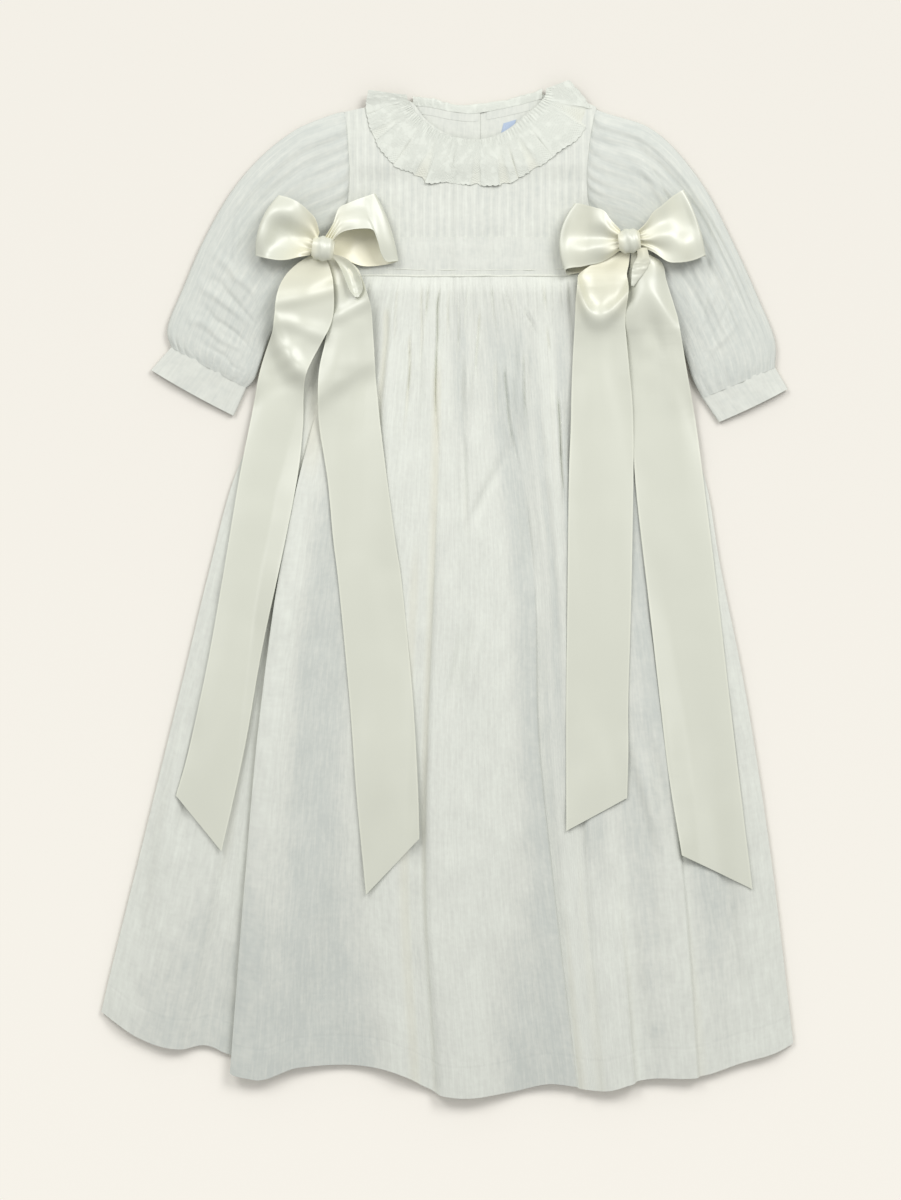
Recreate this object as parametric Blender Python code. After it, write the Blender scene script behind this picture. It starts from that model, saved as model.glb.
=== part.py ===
"""A christening gown laid flat on its back, modelled as the pieces it is sewn from.

+Z is up from the surface it lies on, +Y runs from hem to neck, and the origin is on that
surface under the middle of the gown. Sizes are millimetres and become metres in new_piece.
"""

import math

import bpy
import numpy as np

MM = 0.001

# Walls and the room between them.
COTTON = 1.2
LACE = 1.0
SATIN = 1.0
SEAM = 0.3
ARMHOLE_SEAM = 1.2
CUFF_SEAM = 0.5
CLEAR = 0.3

# Seams across the gown.
WAIST_Y = 247.0
PIPING_RADIUS = 1.3
BAND_BOTTOM_Y = WAIST_Y + 2 * PIPING_RADIUS + SEAM
BAND_TOP_Y = 275.0
BODICE_BOTTOM_Y = BAND_TOP_Y + SEAM

# The back placket, and how far the rolled collar lifts the back above it.
PLACKET_LAP = 11.0
PLACKET_EDGE_X = 27.0
NECK_RAISE = 2.5

# Gathers and ruffle waves, and how high they stand.
FRONT_GATHERS = 34
BACK_GATHERS = 24
GATHER_HEIGHT = 2.4
BACK_GATHER_HEIGHT = 1.4
SLEEVE_GATHERS = 11
CUFF_GATHERS = 8
COLLAR_WAVES = 11
COLLAR_BACK_WAVES = 9

# Skirt outline. Columns: drop below the waist, left edge x, right edge x.
SKIRT_EDGES = (
    (0, -101, 142),
    (20, -112, 152),
    (50, -126, 163),
    (80, -137, 177),
    (110, -147, 188),
    (161, -168, 205),
    (224, -185, 216),
    (319, -208, 235),
    (445, -239, 255),
    (575, -271, 271),
    (660, -290, 281),
)

# Hem outline. Columns: x, drop below the waist.
HEM = (
    (-290, 580),
    (-274, 590),
    (-250, 604),
    (-210, 613),
    (-195, 610),
    (-178, 616),
    (-157, 635),
    (-116, 627),
    (-30, 635),
    (-8, 647),
    (51, 646),
    (78, 640),
    (130, 645),
    (156, 637),
    (200, 635),
    (232, 625),
    (274, 611),
    (290, 600),
)

# The back's hem: its drop at the left and right edge, and how much lower its middle lies.
BACK_HEM_DROPS = (580.0, 603.0)
BACK_HEM_SAG = 34.0

# Large folds of the front. Each fold's line runs through x at these drops below the waist.
FOLD_DROPS = (0, 120, 240, 360, 480, 640)
# Columns: line, side that lies on top (1 right, -1 left), half width at the hem, lap,
# rise, how far the rise takes to die away, drop where it starts, drop where it is full.
FOLDS = (
    ((-80, -112, -139, -160, -180, -214), -1, 12, 8.0, 6.0, 45, 230, 430),
    ((-66, -95, -126, -143, -154, -167), 1, 14, 11.0, 8.0, 75, 110, 300),
    ((-18, -22, -28, -34, -36, -27), -1, 9, 2.0, 4.0, 30, 200, 420),
    ((-4, -5, -9, -14, -16, -7), 1, 11, 4.5, 5.5, 45, 70, 300),
    ((45, 57, 70, 73, 85, 104), -1, 12, 6.0, 5.0, 40, 100, 350),
    ((86, 90, 98, 106, 112, 125), 1, 8, 2.0, 2.5, 20, 60, 160),
    ((103, 112, 120, 128, 137, 150), -1, 9, 3.5, 3.5, 25, 420, 600),
    ((118, 140, 157, 175, 188, 200), -1, 11, 6.5, 5.5, 40, 160, 380),
)
FOLD_COLUMNS = (-1.0, -0.66, -0.4, -0.16, 0.16, 0.4, 0.66, 1.0)
SIDE_ROLL = 28.0

# Bodice outlines. Columns: share of the way from the left armhole, x, y.
FRONT_TOP = (
    (0.00, -80, 375),
    (0.12, -55, 380),
    (0.24, -28, 383),
    (0.32, -16, 369),
    (0.42, 2, 357),
    (0.53, 25, 353),
    (0.64, 47, 360),
    (0.74, 67, 376),
    (0.80, 82, 387),
    (0.90, 101, 386),
    (1.00, 119, 379),
)
BACK_LEFT_TOP = (
    (0.00, -80, 375),
    (0.22, -55, 380),
    (0.46, -28, 383),
    (0.62, -13, 381),
    (0.80, 6, 377),
    (1.00, PLACKET_EDGE_X, 375),
)
BACK_RIGHT_TOP = (
    (0.00, PLACKET_EDGE_X - PLACKET_LAP, 378),
    (0.20, 34, 378),
    (0.45, 58, 382),
    (0.68, 80, 389),
    (0.84, 101, 386),
    (1.00, 119, 379),
)
# Armholes, and below them the sides of the waistband. Columns: y, x.
ARMHOLE_LEFT = ((246, -103), (262, -95), (275, -87), (295, -80), (320, -77), (350, -78), (376, -80))
ARMHOLE_RIGHT = ((246, 143), (262, 133), (275, 124), (295, 115), (320, 112), (350, 114), (380, 119))

# Sleeves. Columns: share down the sleeve, outer edge x, y, inner edge x, y, bulge
# of the section line towards the bodice, height of the top layer.
SLEEVE_LEFT = (
    (0.00, -80.5, 375, -101, 262, 12, 6.6),
    (0.12, -97, 373, -114, 243, 9, 7.0),
    (0.28, -134, 350, -121, 229, 5, 6.6),
    (0.45, -165, 318, -132, 211, 2, 6.2),
    (0.62, -189, 278, -141, 193, 0, 6.0),
    (0.78, -207, 237, -147, 176, -1, 6.0),
    (0.91, -220, 203, -152, 163, -2, 6.2),
    (1.00, -217, 189, -158, 157, -1, 5.4),
)
SLEEVE_RIGHT = (
    (0.00, 119.5, 379, 142, 262, -12, 6.6),
    (0.12, 139, 373, 155, 243, -9, 7.0),
    (0.28, 171, 355, 163, 229, -5, 6.6),
    (0.45, 203, 317, 175, 211, -2, 6.2),
    (0.62, 228, 269, 185, 193, 0, 6.0),
    (0.78, 246, 229, 191, 177, 1, 6.0),
    (0.91, 260, 193, 196, 162, 2, 6.2),
    (1.00, 260, 173, 203, 149, 1, 5.4),
)
# Far corners of each cuff. Columns: outer x, y, inner x, y, bulge, height.
CUFF_LEFT_END = (-233, 171, -168, 135, -2, 4.6)
CUFF_RIGHT_END = (270, 156, 216, 130, 2, 4.6)

# Lace collar. Columns: share from the left shoulder to the right, seam x, y, edge x, y.
COLLAR_FRONT = (
    (0.00, -31, 388, -62, 392),
    (0.08, -30, 384, -66, 380),
    (0.18, -26, 377, -60, 356),
    (0.28, -18, 368, -42, 334),
    (0.38, -6, 359, -22, 322),
    (0.48, 10, 354, 2, 316),
    (0.58, 28, 353, 28, 315),
    (0.68, 45, 358, 56, 319),
    (0.78, 59, 368, 83, 336),
    (0.87, 71, 379, 104, 354),
    (0.94, 78, 387, 115, 379),
    (1.00, 79, 393, 97, 400),
)
# Columns: share from the left shoulder to the right, x, y of the back neck edge.
COLLAR_BACK = (
    (0.0, -26, 384),
    (0.2, -12, 382.5),
    (0.4, 6, 379),
    (0.5, 20, 377.5),
    (0.6, 34, 379.5),
    (0.8, 58, 384.5),
    (1.0, 76, 389.5),
)

# Ribbon loops, drawn from the knot out along the back and home along the front.
# Columns: share along the loop, reach from the knot, upper edge, lower edge, height of the
# upper edge, height of the lower edge, crown of the middle. Heights start from the gown, and
# at the knot from its middle.
LOOP_CUPPED = (
    (0.00, 0, 4.5, -4.5, -3, -3, 0),
    (0.22, 17, 16, -16, 0.5, 0.5, 0),
    (0.42, 36, 25, -24, 1, 1, 0),
    (0.52, 42, 26, -26, 5, 5, 0),
    (0.62, 37, 26, -26, 12, 12, 2),
    (0.80, 18, 17, -18, 17, 14, -5),
    (1.00, 0, 4.5, -4.5, 3, 3, 0),
)
LOOP_OPEN = (
    (0.00, 0, 4.5, -4.5, -3, -3, 0),
    (0.22, 17, 16, -17, 0.5, 0.5, 0),
    (0.42, 36, 25, -24, 1, 1, 0),
    (0.52, 43, 26, -26, 5, 5, 0),
    (0.62, 39, 27, -25, 12, 12, 3),
    (0.80, 19, 17, -2, 12, 19, 3),
    (1.00, 0, 4.5, -4.5, 3, 3, 0),
)
# Columns: bow, loop, direction of reach in degrees, which side is its upper one, shape, length.
LOOPS = (
    ("bow_left", "loop_left", 161, -1, LOOP_CUPPED, 1.00),
    ("bow_left", "loop_right", 16, 1, LOOP_OPEN, 1.00),
    ("bow_right", "loop_left", 176, -1, LOOP_CUPPED, 0.88),
    ("bow_right", "loop_right", 16, 1, LOOP_CUPPED, 1.04),
)
# Columns: bow, x and y of its knot.
BOWS = (
    ("bow_left", -95, 269),
    ("bow_right", 144, 271),
)
LOOP_NECK = 4.5
LOOP_SETTLES = 15.0
KNOT_LONG = 15.0
KNOT_WIDE = 18.0
KNOT_HIGH = 16.0

# Ribbon tails. Columns: y of the left edge, x of it, y of the right edge, x of it, lift.
TAIL_LEFT_OUTER = (
    (267, -102, 267, -95.6, 1.5),
    (248, -120, 244, -94, 5),
    (222, -136, 216, -95, 8),
    (194, -141, 190, -100, 7),
    (150, -151, 148, -108, 2.0),
    (100, -161, 100, -116, 0.6),
    (20, -174, 20, -130, 0.3),
    (-60, -188, -50, -145, 0.3),
    (-129, -203, -129, -159, 0.3),
    (-165, -213, -209, -177, 0.8),
)
TAIL_LEFT_INNER = (
    (267, -94.4, 267, -88, 1.5),
    (245, -92, 242, -70, 5),
    (214, -94, 212, -60, 7),
    (180, -99, 180, -57, 5),
    (148, -98, 148, -54, 2.0),
    (92, -91, 92, -46, 0.6),
    (0, -82, 0, -34, 0.3),
    (-90, -76, -90, -26, 0.3),
    (-170, -70, -160, -22, 0.3),
    (-243, -63, -199, -21, 0.8),
)
TAIL_RIGHT_INNER = (
    (269, 137, 269, 143.4, 1.5),
    (246, 109, 244, 142, 6),
    (222, 98, 220, 142, 8),
    (190, 97, 190, 145, 4),
    (148, 97, 148, 146, 1.5),
    (84, 97, 84, 146, 0.6),
    (0, 96, 0, 145, 0.3),
    (-90, 95, -90, 144, 0.3),
    (-150, 95, -130, 144, 0.3),
    (-193, 95, -167, 143, 0.8),
)
TAIL_RIGHT_OUTER = (
    (269, 144.6, 269, 151, 1.5),
    (243, 145, 250, 168, 5),
    (215, 147, 222, 179, 7),
    (186, 147, 190, 186, 4),
    (140, 149, 146, 194, 1.5),
    (68, 154, 76, 205, 0.6),
    (-10, 161, -4, 215, 0.3),
    (-90, 169, -88, 224, 0.3),
    (-150, 176, -165, 233, 0.3),
    (-212, 186, -239, 242, 1.5),
)

# Colours, roughness and metallic value of each material.
MATERIALS = {
    "cotton": ((0.80, 0.82, 0.79), 0.85, 0.0),
    "lace": ((0.82, 0.83, 0.78), 0.9, 0.0),
    "satin": ((0.84, 0.83, 0.72), 0.32, 0.0),
    "piping": ((0.84, 0.82, 0.70), 0.5, 0.0),
    "label": ((0.45, 0.58, 0.78), 0.7, 0.0),
}


def clear_scene():
    for obj in list(bpy.data.objects):
        bpy.data.objects.remove(obj, do_unlink=True)


def material(name):
    """The named fabric as a Principled material, made once."""
    if name in bpy.data.materials:
        return bpy.data.materials[name]
    colour, roughness, metallic = MATERIALS[name]
    made = bpy.data.materials.new(name)
    made.use_nodes = True
    shader = made.node_tree.nodes["Principled BSDF"]
    shader.inputs["Base Color"].default_value = (*colour, 1.0)
    shader.inputs["Roughness"].default_value = roughness
    shader.inputs["Metallic"].default_value = metallic
    return made


def ease(t):
    """0 up to 1 with no slope at either end."""
    t = np.clip(t, 0.0, 1.0)
    return t * t * (3.0 - 2.0 * t)


def mix(a, b, t):
    return a + (b - a) * t


def through(rows, at):
    """A smooth curve through the rows of a table, read where its first column is `at`."""
    rows = np.array(rows, float)
    key, values = rows[:, 0], rows[:, 1:]
    slopes = np.gradient(values, key, axis=0)
    at = np.clip(np.asarray(at, float), key[0], key[-1])
    i = np.clip(np.searchsorted(key, at, side="right") - 1, 0, len(key) - 2)
    span = (key[i + 1] - key[i])[..., None]
    t = (at - key[i])[..., None] / span
    start = (2 * t**3 - 3 * t**2 + 1) * values[i] + (t**3 - 2 * t**2 + t) * span * slopes[i]
    end = (3 * t**2 - 2 * t**3) * values[i + 1] + (t**3 - t**2) * span * slopes[i + 1]
    return np.moveaxis(start + end, -1, 0)


def stitched(first, second, u_first, u_second):
    """Triangles between two rows of points, whose counts may differ."""
    faces = []
    i = j = 0
    while i < len(first) - 1 or j < len(second) - 1:
        step_first = j == len(second) - 1
        if i < len(first) - 1 and j < len(second) - 1:
            step_first = u_first[i + 1] <= u_second[j + 1]
        if step_first:
            faces.append((first[i], first[i + 1], second[j]))
            i += 1
        else:
            faces.append((first[i], second[j + 1], second[j]))
            j += 1
    return faces


def plumb(normal, along, where):
    """The normals, upright across a seam: without their part along the level way over the edge."""
    level = along * np.array([1.0, 1.0, 0.0])[:, None]
    level /= np.linalg.norm(level, axis=0) + 1e-12
    flat = normal - level * (normal * level).sum(axis=0)
    return np.where(where, flat, normal)


def wall_mesh(surface, rows, thick, around=False, sewn=False):
    """Points and faces of a wall of even thickness over a surface.

    `surface(u, v)` gives x, y and z in millimetres, and `rows` holds a v and its u values
    for each row of points. `around` joins the ends of every row, as on a tube, and `sewn`
    makes the edges upright, so that a seam is as wide on top as underneath.
    """
    step = 1e-4
    outer, inner, numbers = [], [], []
    count = 0
    for v, u in rows:
        u = np.asarray(u, float)
        v_all = np.full(len(u), float(v))
        u_low, u_high = (u - step, u + step) if around else (np.maximum(u - step, 0), np.minimum(u + step, 1))
        v_low, v_high = np.maximum(v_all - step, 0), np.minimum(v_all + step, 1)
        along_u = surface(u_high, v_all) - surface(u_low, v_all)
        along_v = surface(u, v_high) - surface(u, v_low)
        normal = np.cross(along_u, along_v, axis=0)
        if sewn:
            normal = plumb(normal, along_v, (v_all == 0) | (v_all == 1))
            if not around:
                normal = plumb(normal, along_u, (u == 0) | (u == 1))
        normal /= np.linalg.norm(normal, axis=0)
        middle = surface(u, v_all)
        outer.append((middle + normal * thick / 2).T)
        inner.append((middle - normal * thick / 2).T)
        numbers.append(list(range(count, count + len(u))))
        count += len(u)
    faces = []
    closed = [row + row[:1] if around else row for row in numbers]
    shares = [list(u) + ([1.0] if around else []) for _, u in rows]
    for a, b, share_a, share_b in zip(closed[:-1], closed[1:], shares[:-1], shares[1:]):
        for face in stitched(a, b, share_a, share_b):
            faces.append(face)
            faces.append(tuple(n + count for n in reversed(face)))
    for row, forward in ((closed[0], False), (closed[-1], True)):
        faces += rim(row, count, forward)
    if not around:
        faces += rim([row[0] for row in numbers], count, True)
        faces += rim([row[-1] for row in numbers], count, False)
    return np.concatenate(outer + inner), faces


def rim(row, count, forward):
    """Quads that close a wall along one of its edges."""
    quads = [(a, b, b + count, a + count) for a, b in zip(row[:-1], row[1:])]
    return quads if forward else [tuple(reversed(quad)) for quad in quads]


def barrel_faces(rings, sides):
    """Faces of a solid bar of rings of points, with both ends filled."""
    faces = []
    for n in range(rings - 1):
        for k in range(sides):
            a, b = sides * n + k, sides * n + (k + 1) % sides
            faces.append((a, b, b + sides, a + sides))
    faces.append(tuple(reversed(range(sides))))
    faces.append(tuple(sides * (rings - 1) + k for k in range(sides)))
    return faces


def signed_volume(points, faces):
    total = 0.0
    for face in faces:
        for b, c in zip(face[1:-1], face[2:]):
            total += np.dot(points[face[0]], np.cross(points[b], points[c]))
    return total


def new_piece(name, points, faces, fabric):
    """A named object from points in millimetres, its faces turned outwards."""
    if signed_volume(points, faces) < 0:
        faces = [tuple(reversed(face)) for face in faces]
    mesh = bpy.data.meshes.new(name)
    mesh.from_pydata((np.asarray(points) * MM).tolist(), [], faces)
    mesh.validate()
    mesh.shade_smooth()
    mesh.materials.append(material(fabric))
    obj = bpy.data.objects.new(name, mesh)
    bpy.context.scene.collection.objects.link(obj)
    return obj


def new_wall(name, surface, rows, thick, fabric, around=False):
    points, faces = wall_mesh(surface, rows, thick, around, sewn=fabric == "cotton")
    return new_piece(name, points, faces, fabric)


def grid_rows(across, down):
    """Rows of evenly spaced u values, one row for each of `down` + 1 even steps of v."""
    return [(v, np.linspace(0, 1, across + 1)) for v in np.linspace(0, 1, down + 1)]


def tube_rows(around, down):
    return [(v, np.arange(around) / around) for v in np.linspace(0, 1, down + 1)]


# The skirt.


def skirt_width(drop):
    left, right = through(SKIRT_EDGES, drop)
    return left, right


def waist_line(x):
    """The waist seam sags by about a millimetre in the middle."""
    return WAIST_Y + 1.2 * ((x - 20.0) / 120.0) ** 2


def skirt_columns_to_x(u, drop):
    """x of the flat cloth: every fold keeps its column from waist to hem, and the cloth between spreads."""
    lines = np.array([fold[0] for fold in FOLDS], float).T
    rows = [(d, *line) for d, line in zip(FOLD_DROPS, lines)]
    at_folds = through(rows, np.minimum(drop, FOLD_DROPS[-1]))
    left, right = skirt_width(drop)
    anchors_x = np.vstack([left[None], at_folds, right[None]])
    anchors_u = fold_shares()
    x = np.empty_like(u)
    for n in range(len(u)):
        x[n] = np.interp(u[n], anchors_u, anchors_x[:, n])
    return x, at_folds


def fold_shares():
    """Where the skirt's edges and folds lie in its columns, 0 at the left edge and 1 at the right."""
    left, right = SKIRT_EDGES[0][1:]
    at_waist = [(fold[0][0] - left) / (right - left) for fold in FOLDS]
    return np.array([0.0, *at_waist, 1.0])


def lap(t):
    """Sideways swing of a fold: out, back past the start and out again, and 1 at most."""
    inside = np.clip(1.0 - t * t, 0.0, None)
    return 3.49 * t * inside**2


def hem_drop(x):
    return through(HEM, x)[0]


def gather_wave(share, count, height, drop, shortest, longest):
    """Gathers that run down from the seam, each fading at a length of its own."""
    which = np.floor(share * count)
    length = mix(shortest, longest, 0.5 + 0.5 * np.sin(7.3 * which + 1.1))
    return height * (0.5 - 0.5 * np.cos(2 * math.pi * share * count)) * (1 - ease(drop / length))


def skirt_front_surface(u, v):
    left, right = SKIRT_EDGES[0][1:]
    start_x = mix(left, right, u)
    end_x, _ = skirt_columns_to_x(u, np.full_like(u, 630.0))
    drop = v * hem_drop(end_x)
    x, lines = skirt_columns_to_x(u, drop)
    left_edge, right_edge = skirt_width(drop)
    spread = (right_edge - left_edge) / 558.0
    edge = np.minimum(x - left_edge, right_edge - x)
    z = 2.6 + 2.2 * ease(edge / SIDE_ROLL) + 1.6 * (1 - ease(drop / 60.0))
    swing = np.zeros_like(x)
    for (_, side, half, sway, rise, away, first, full), line in zip(FOLDS, lines):
        grown = ease((drop - first) / (full - first))
        t = (x - line) / (half * spread)
        beyond = np.clip(side * (x - line), 0.0, None)
        up = ease(0.5 + 0.72 * side * t) * np.exp(-((beyond / away) ** 2))
        swing -= sway * grown * lap(np.clip(t, -1.0, 1.0))
        z += rise * grown * up * ease(edge / 14.0)
    z += gather_wave(u, FRONT_GATHERS, GATHER_HEIGHT, drop, 80.0, 165.0)
    y = waist_line(start_x) - SEAM - drop
    return np.array([x + swing, y, z])


def fold_columns():
    """Column positions that are close together at every fold and wide apart between them."""
    shares = fold_shares()
    hem_x = [SKIRT_EDGES[-2][1], *(fold[0][-1] for fold in FOLDS), SKIRT_EDGES[-2][2]]
    found = set(np.round(np.linspace(0, 1, 19), 4))
    for n, fold in enumerate(FOLDS, start=1):
        for t in FOLD_COLUMNS:
            low = n - 1 if t < 0 else n
            rate = (shares[low + 1] - shares[low]) / (hem_x[low + 1] - hem_x[low])
            found.add(round(float(shares[n] + t * fold[2] * rate), 4))
    kept = [0.0]
    for share in sorted(found):
        if share - kept[-1] > 0.0035:
            kept.append(share)
    kept[-1] = 1.0
    return np.array(kept)


def make_skirt_front():
    fine = np.linspace(0, 1, 4 * FRONT_GATHERS + 1)
    coarse = fold_columns()
    rows = [(v, fine) for v in (0.0, 0.04, 0.09, 0.16)]
    rows += [(v, coarse) for v in (0.24, 0.33, 0.42, 0.52, 0.62, 0.72, 0.82, 0.92, 1.0)]
    new_wall("skirt_front", skirt_front_surface, rows, COTTON, "cotton")


def skirt_back_surface(u, v):
    left, right = SKIRT_EDGES[0][1:]
    drop = v * (mix(*BACK_HEM_DROPS, u) + BACK_HEM_SAG * np.sin(math.pi * u) ** 0.8)
    left_edge, right_edge = skirt_width(drop)
    x = mix(left_edge, right_edge, u)
    z = COTTON / 2 + gather_wave(u, BACK_GATHERS, BACK_GATHER_HEIGHT, drop, 60.0, 110.0)
    y = waist_line(mix(left, right, u)) - SEAM - drop
    return np.array([x, y, z])


def make_skirt_back():
    fine = np.linspace(0, 1, 3 * BACK_GATHERS + 1)
    coarse = np.linspace(0, 1, 13)
    rows = [(v, fine) for v in (0.0, 0.06, 0.13)]
    rows += [(v, coarse) for v in (0.22, 0.48, 0.74, 1.0)]
    new_wall("skirt_back", skirt_back_surface, rows, COTTON, "cotton")


# The bodice, laid back under front.


def back_height(x, y, lapped):
    """Middle of the back's wall: raised by the collar rolled under it, and by the lap at its placket."""
    near_neck = ease((y - 318.0) / 18.0) * ease((x + 79.0) / 12.0) * ease((116.0 - x) / 12.0)
    over = ease((x - (PLACKET_EDGE_X - PLACKET_LAP - 10.0)) / 8.0) if lapped else 0.0
    return COTTON / 2 + NECK_RAISE * near_neck + (COTTON + 2 * CLEAR) * over


def front_height(x, y):
    """Middle of the front's wall, over the highest part of the back."""
    on_placket = ease((x - 2.0) / 8.0) * ease((40.0 - x) / 8.0)
    dome = 1.2 * ease((x + 82.0) / 50.0) * ease((120.0 - x) / 50.0)
    under = back_height(x, y, False) + (COTTON + 2 * CLEAR) * on_placket
    return under + COTTON + 2 * CLEAR + dome


def armhole_side(edge, top_y, gap):
    """A side of the bodice as a function of v: down an armhole to the band, moved sideways by a gap."""

    def line(v):
        y = mix(top_y, BODICE_BOTTOM_Y, v)
        return through(edge, y)[0] + gap, y

    return line


def straight_side(x, top_y):
    """A side of the bodice that runs straight down to the band."""
    return lambda v: (np.full_like(v, x), mix(top_y, BODICE_BOTTOM_Y, v))


def patch(top, left, right):
    """Plan of a piece between a table of its top edge, two sides and the band: x and y at (u, v)."""
    corners = np.array([left(np.zeros(1)), right(np.zeros(1)), left(np.ones(1)), right(np.ones(1))])[..., 0]

    def plan(u, v):
        across = mix(np.array(left(v)), np.array(right(v)), u)
        down = mix(through(top, u), mix(corners[2][:, None], corners[3][:, None], u), v)
        twice = mix(
            mix(corners[0][:, None], corners[1][:, None], u),
            mix(corners[2][:, None], corners[3][:, None], u),
            v,
        )
        return across + down - twice

    return plan


def make_bodice():
    half = SEAM / 2
    left = armhole_side(ARMHOLE_LEFT, FRONT_TOP[0][2], half)
    right = armhole_side(ARMHOLE_RIGHT, FRONT_TOP[-1][2], -half)
    lap_x = PLACKET_EDGE_X - PLACKET_LAP
    over_edge = straight_side(PLACKET_EDGE_X, BACK_LEFT_TOP[-1][2])
    under_edge = straight_side(lap_x, BACK_RIGHT_TOP[0][2])
    pieces = (
        ("bodice_front", patch(FRONT_TOP, left, right), front_height, 20, 6),
        ("bodice_back_left", patch(BACK_LEFT_TOP, left, over_edge), lambda x, y: back_height(x, y, True), 12, 5),
        ("bodice_back_right", patch(BACK_RIGHT_TOP, under_edge, right), lambda x, y: back_height(x, y, False), 10, 5),
    )
    for name, plan, height, across, down in pieces:

        def surface(u, v, plan=plan, height=height):
            x, y = plan(u, v)
            return np.array([x, y, height(x, y)])

        new_wall(name, surface, grid_rows(across, down), COTTON, "cotton")


def make_waistband():
    def band(raised):
        def surface(u, v):
            middle = mix(BAND_TOP_Y, BAND_BOTTOM_Y, v)
            x = mix(through(ARMHOLE_LEFT, middle)[0], through(ARMHOLE_RIGHT, middle)[0], u)
            y = mix(BAND_TOP_Y, waist_line(x) - WAIST_Y + BAND_BOTTOM_Y, v)
            z = np.full_like(x, COTTON / 2)
            if raised:
                z = front_height(x, np.full_like(x, 300.0)) + 0.5 * ease(v * 2) * ease(2 - v * 2)
            return np.array([x, y, z])

        return surface

    new_wall("waistband_front", band(True), grid_rows(16, 3), COTTON, "cotton")
    new_wall("waistband_back", band(False), grid_rows(4, 2), COTTON, "cotton")


def make_piping():
    """A round cord let into the waist seam."""
    ends = (through(ARMHOLE_LEFT, WAIST_Y)[0] + 2.0, through(ARMHOLE_RIGHT, WAIST_Y)[0] - 2.0)

    def surface(u, v):
        x = mix(ends[0], ends[1], v)
        angle = 2 * math.pi * u
        y = waist_line(x) + PIPING_RADIUS * (1 + np.cos(angle))
        z = front_height(x, np.full_like(x, 300.0)) + 0.5 + PIPING_RADIUS * np.sin(angle)
        return np.array([x, y, z])

    sides, lengths = 8, 16
    points = [surface(u, np.full(len(u), v)).T for v, u in tube_rows(sides, lengths)]
    new_piece("waist_piping", np.concatenate(points), barrel_faces(lengths + 1, sides), "piping")


# Sleeves and cuffs, which are flattened tubes.


def tube_surface(table, gathers, armhole=None, gap=0.0):
    """A tube pressed flat: u runs round it from its outer edge over the top, v runs down it."""
    turn = 1.7
    middle = COTTON / 2 + turn

    def surface(u, v):
        outer_x, outer_y, inner_x, inner_y, bulge, high = through(table, v)
        angle = 2 * math.pi * u
        share = 0.5 - 0.5 * np.cos(angle)
        side = np.abs(np.sin(angle))
        x = mix(outer_x, inner_x, share) + bulge * 4 * share * (1 - share)
        y = mix(outer_y, inner_y, share)
        if armhole:
            x = mix(x, through(armhole, y)[0] + gap, 1 - ease(v / 0.22))
        top = middle + (high - middle) * side**0.55 + gathers(share, v) * ease(side * 1.6)
        bottom = middle - turn * side**0.35
        return np.array([x, y, np.where(np.sin(angle) > 0, top, bottom)])

    return surface


def sleeve_gathers(share, v):
    """Ridges that fan out from the armhole and others that run up from the cuff."""
    cap = (0.5 - 0.5 * np.cos(2 * math.pi * SLEEVE_GATHERS * share)) * (1 - ease(v / 0.45))
    cuff = (0.5 - 0.5 * np.cos(2 * math.pi * CUFF_GATHERS * share)) * ease((v - 0.72) / 0.25)
    return 1.5 * cap + 0.9 * cuff


def sleeve_rows():
    """Points are close together over the top, where the gathers are, and few underneath."""
    over = np.arccos(1 - 2 * np.linspace(0, 1, 4 * SLEEVE_GATHERS + 1)) / (2 * math.pi)
    plain = np.arccos(1 - 2 * np.linspace(0, 1, 15)) / (2 * math.pi)
    under = np.sort(1 - np.arccos(1 - 2 * np.linspace(0, 1, 7)[1:-1]) / (2 * math.pi))
    gathered = np.concatenate([over, under])
    smooth = np.concatenate([plain, under])
    rows = [(v, gathered) for v in (0.0, 0.08, 0.2)]
    rows += [(v, smooth) for v in (0.32, 0.46, 0.6, 0.74)]
    return rows + [(v, gathered) for v in (0.88, 1.0)]


def make_sleeves():
    sleeves = (
        ("sleeve_left", SLEEVE_LEFT, ARMHOLE_LEFT, -ARMHOLE_SEAM),
        ("sleeve_right", SLEEVE_RIGHT, ARMHOLE_RIGHT, ARMHOLE_SEAM),
    )
    for name, table, armhole, gap in sleeves:
        surface = tube_surface(table, sleeve_gathers, armhole, gap)
        new_wall(name, surface, sleeve_rows(), COTTON, "cotton", around=True)
    cuffs = (
        ("cuff_left", SLEEVE_LEFT, CUFF_LEFT_END),
        ("cuff_right", SLEEVE_RIGHT, CUFF_RIGHT_END),
    )
    for name, sleeve, far in cuffs:
        near = np.array(sleeve[-1][1:], float)
        far = np.array(far, float)
        near += (far - near) * CUFF_SEAM / np.hypot(*(far - near)[:2])
        surface = tube_surface(((0, *near), (1, *far)), lambda share, v: 0.0 * share)
        new_wall(name, surface, tube_rows(20, 2), COTTON, "cotton", around=True)


# The lace collar, its binding and the label.


def ruffle(phase, height, swing):
    """Height and sideways swing of full, rounded waves that lean over the dips between them."""
    up = height * (0.5 + 0.5 * np.cos(phase))
    across = swing * np.sin(2 * phase)
    return up, across


def make_collar_front():
    def surface(u, v):
        seam_x, seam_y, edge_x, edge_y = through(COLLAR_FRONT, u)
        phase = 2 * math.pi * (u * COLLAR_WAVES - 0.45)
        up, across = ruffle(phase, 6.0, 2.2)
        out = ease(v * 1.15) * v
        length = np.hypot(edge_x - seam_x, edge_y - seam_y)
        dx, dy = (edge_x - seam_x) / length, (edge_y - seam_y) / length
        x = mix(seam_x, edge_x, v) + dy * across * out * 0.9
        y = mix(seam_y, edge_y, v) - dx * across * out * 0.9
        base = front_height(x, np.minimum(y, 370.0)) + COTTON / 2 + 2 * CLEAR + LACE / 2
        return np.array([x, y, base + 0.4 + up * out])

    new_wall("collar_front", surface, grid_rows(6 * COLLAR_WAVES, 3), LACE, "lace")


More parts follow.
